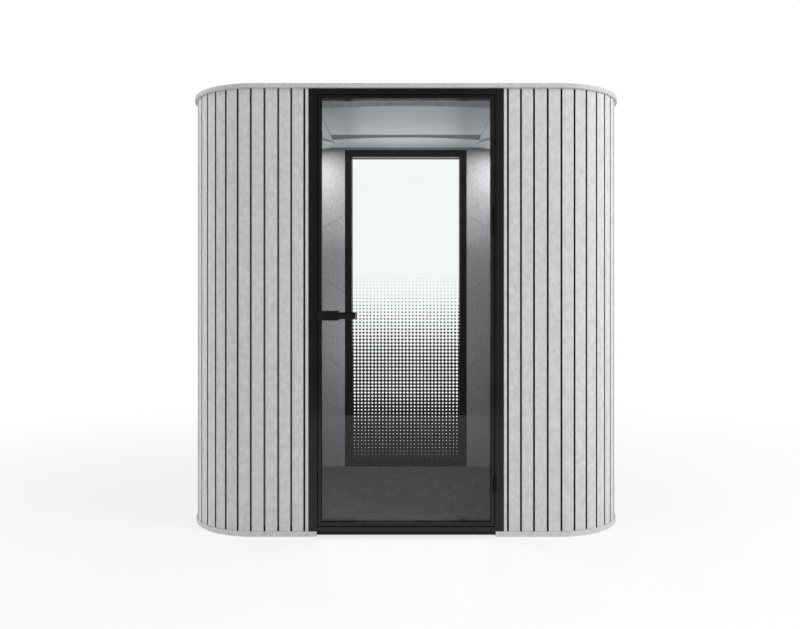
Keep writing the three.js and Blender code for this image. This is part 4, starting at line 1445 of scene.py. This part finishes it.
# %% World
sky_front = 0.38
sky_sides = 1.3
sky_leftward = -0.6
sky_in_mirrors = 0.1
behind_from, behind_full = -0.5, 0.4
right_in_mirrors = 0.36
right_from, right_full = 0.11, 0.14
glass_loss = 0.05
world = bpy.data.worlds.new("studio")
bpy.context.scene.world = world
world.use_nodes = True
tree = world.node_tree
background = tree.nodes["Background"]
direction = axes(tree, put(tree, "TexCoord").outputs["Generated"])
rays = put(tree, "LightPath").outputs
through = maths(tree, "MAXIMUM", rays["Is Camera Ray"], rays["Is Transmission Ray"])
mirrored = maths(tree, "MINIMUM", rays["Glossy Depth"], 1.0)
behind = spread(tree, direction["Y"], behind_from, behind_full, sky_in_mirrors, 1.0)
on_right = spread(tree, direction["X"], right_from, right_full, 0.0, right_in_mirrors)
in_mirrors = maths(tree, "MAXIMUM", behind, on_right)
sideways = maths(tree, "MULTIPLY", direction["X"], direction["X"])
even = maths(tree, "MULTIPLY_ADD", sideways, sky_sides, sky_front)
plain = maths(tree, "MULTIPLY_ADD", direction["X"], sky_leftward, even)
seen = maths(tree, "MULTIPLY_ADD", rays["Is Transmission Ray"], glass_loss, 1.0)
direct = put(tree, "Mix", {0: through, 2: plain, 3: seen}).outputs[0]
strength = put(tree, "Mix", {0: mirrored, 2: direct, 3: in_mirrors}).outputs[0]
tree.links.new(strength, background.inputs["Strength"])
background.inputs["Color"].default_value = (1, 1, 1, 1)
print("Sky from", sky_front, "in front to", sky_front + sky_sides, "at the sides")

# %% [markdown]
# One large soft lamp at the front right models the corners. Two weak ones inside the cabin stand for light
# that bounces about in it: one that shines up at the ceiling, and a small ball at desk height.

# %% Lamps
key_place = (5.5, -3.2, 3.6)
key_aim = (0, 0, 1.0)
key_side = 3.0
key_power = 270
upward_place = (0, 0.4, 1.5)
upward_aim = (0, 0.4, 3.0)
upward_width = 0.5
upward_depth = 0.3
upward_power = 5.1
fill_place = (-0.2, 0.05, 0.95)
fill_spread = 0.2
fill_power = 12


def soft_lamp(place, aim, width, depth, power):
    """A rectangular lamp that points at a place."""
    lamp = add_lamp("AREA", place, power)
    lamp.data.shape = "RECTANGLE"
    lamp.data.size = width
    lamp.data.size_y = depth
    lamp.rotation_euler = (Vector(aim) - lamp.location).to_track_quat("-Z", "Y").to_euler()


soft_lamp(key_place, key_aim, key_side, key_side, key_power)
soft_lamp(upward_place, upward_aim, upward_width, upward_depth, upward_power)
fill = add_lamp("POINT", fill_place, fill_power)
fill.data.shadow_soft_size = fill_spread
print("Lamps of", key_power, "W outside and", upward_power + fill_power, "W inside")
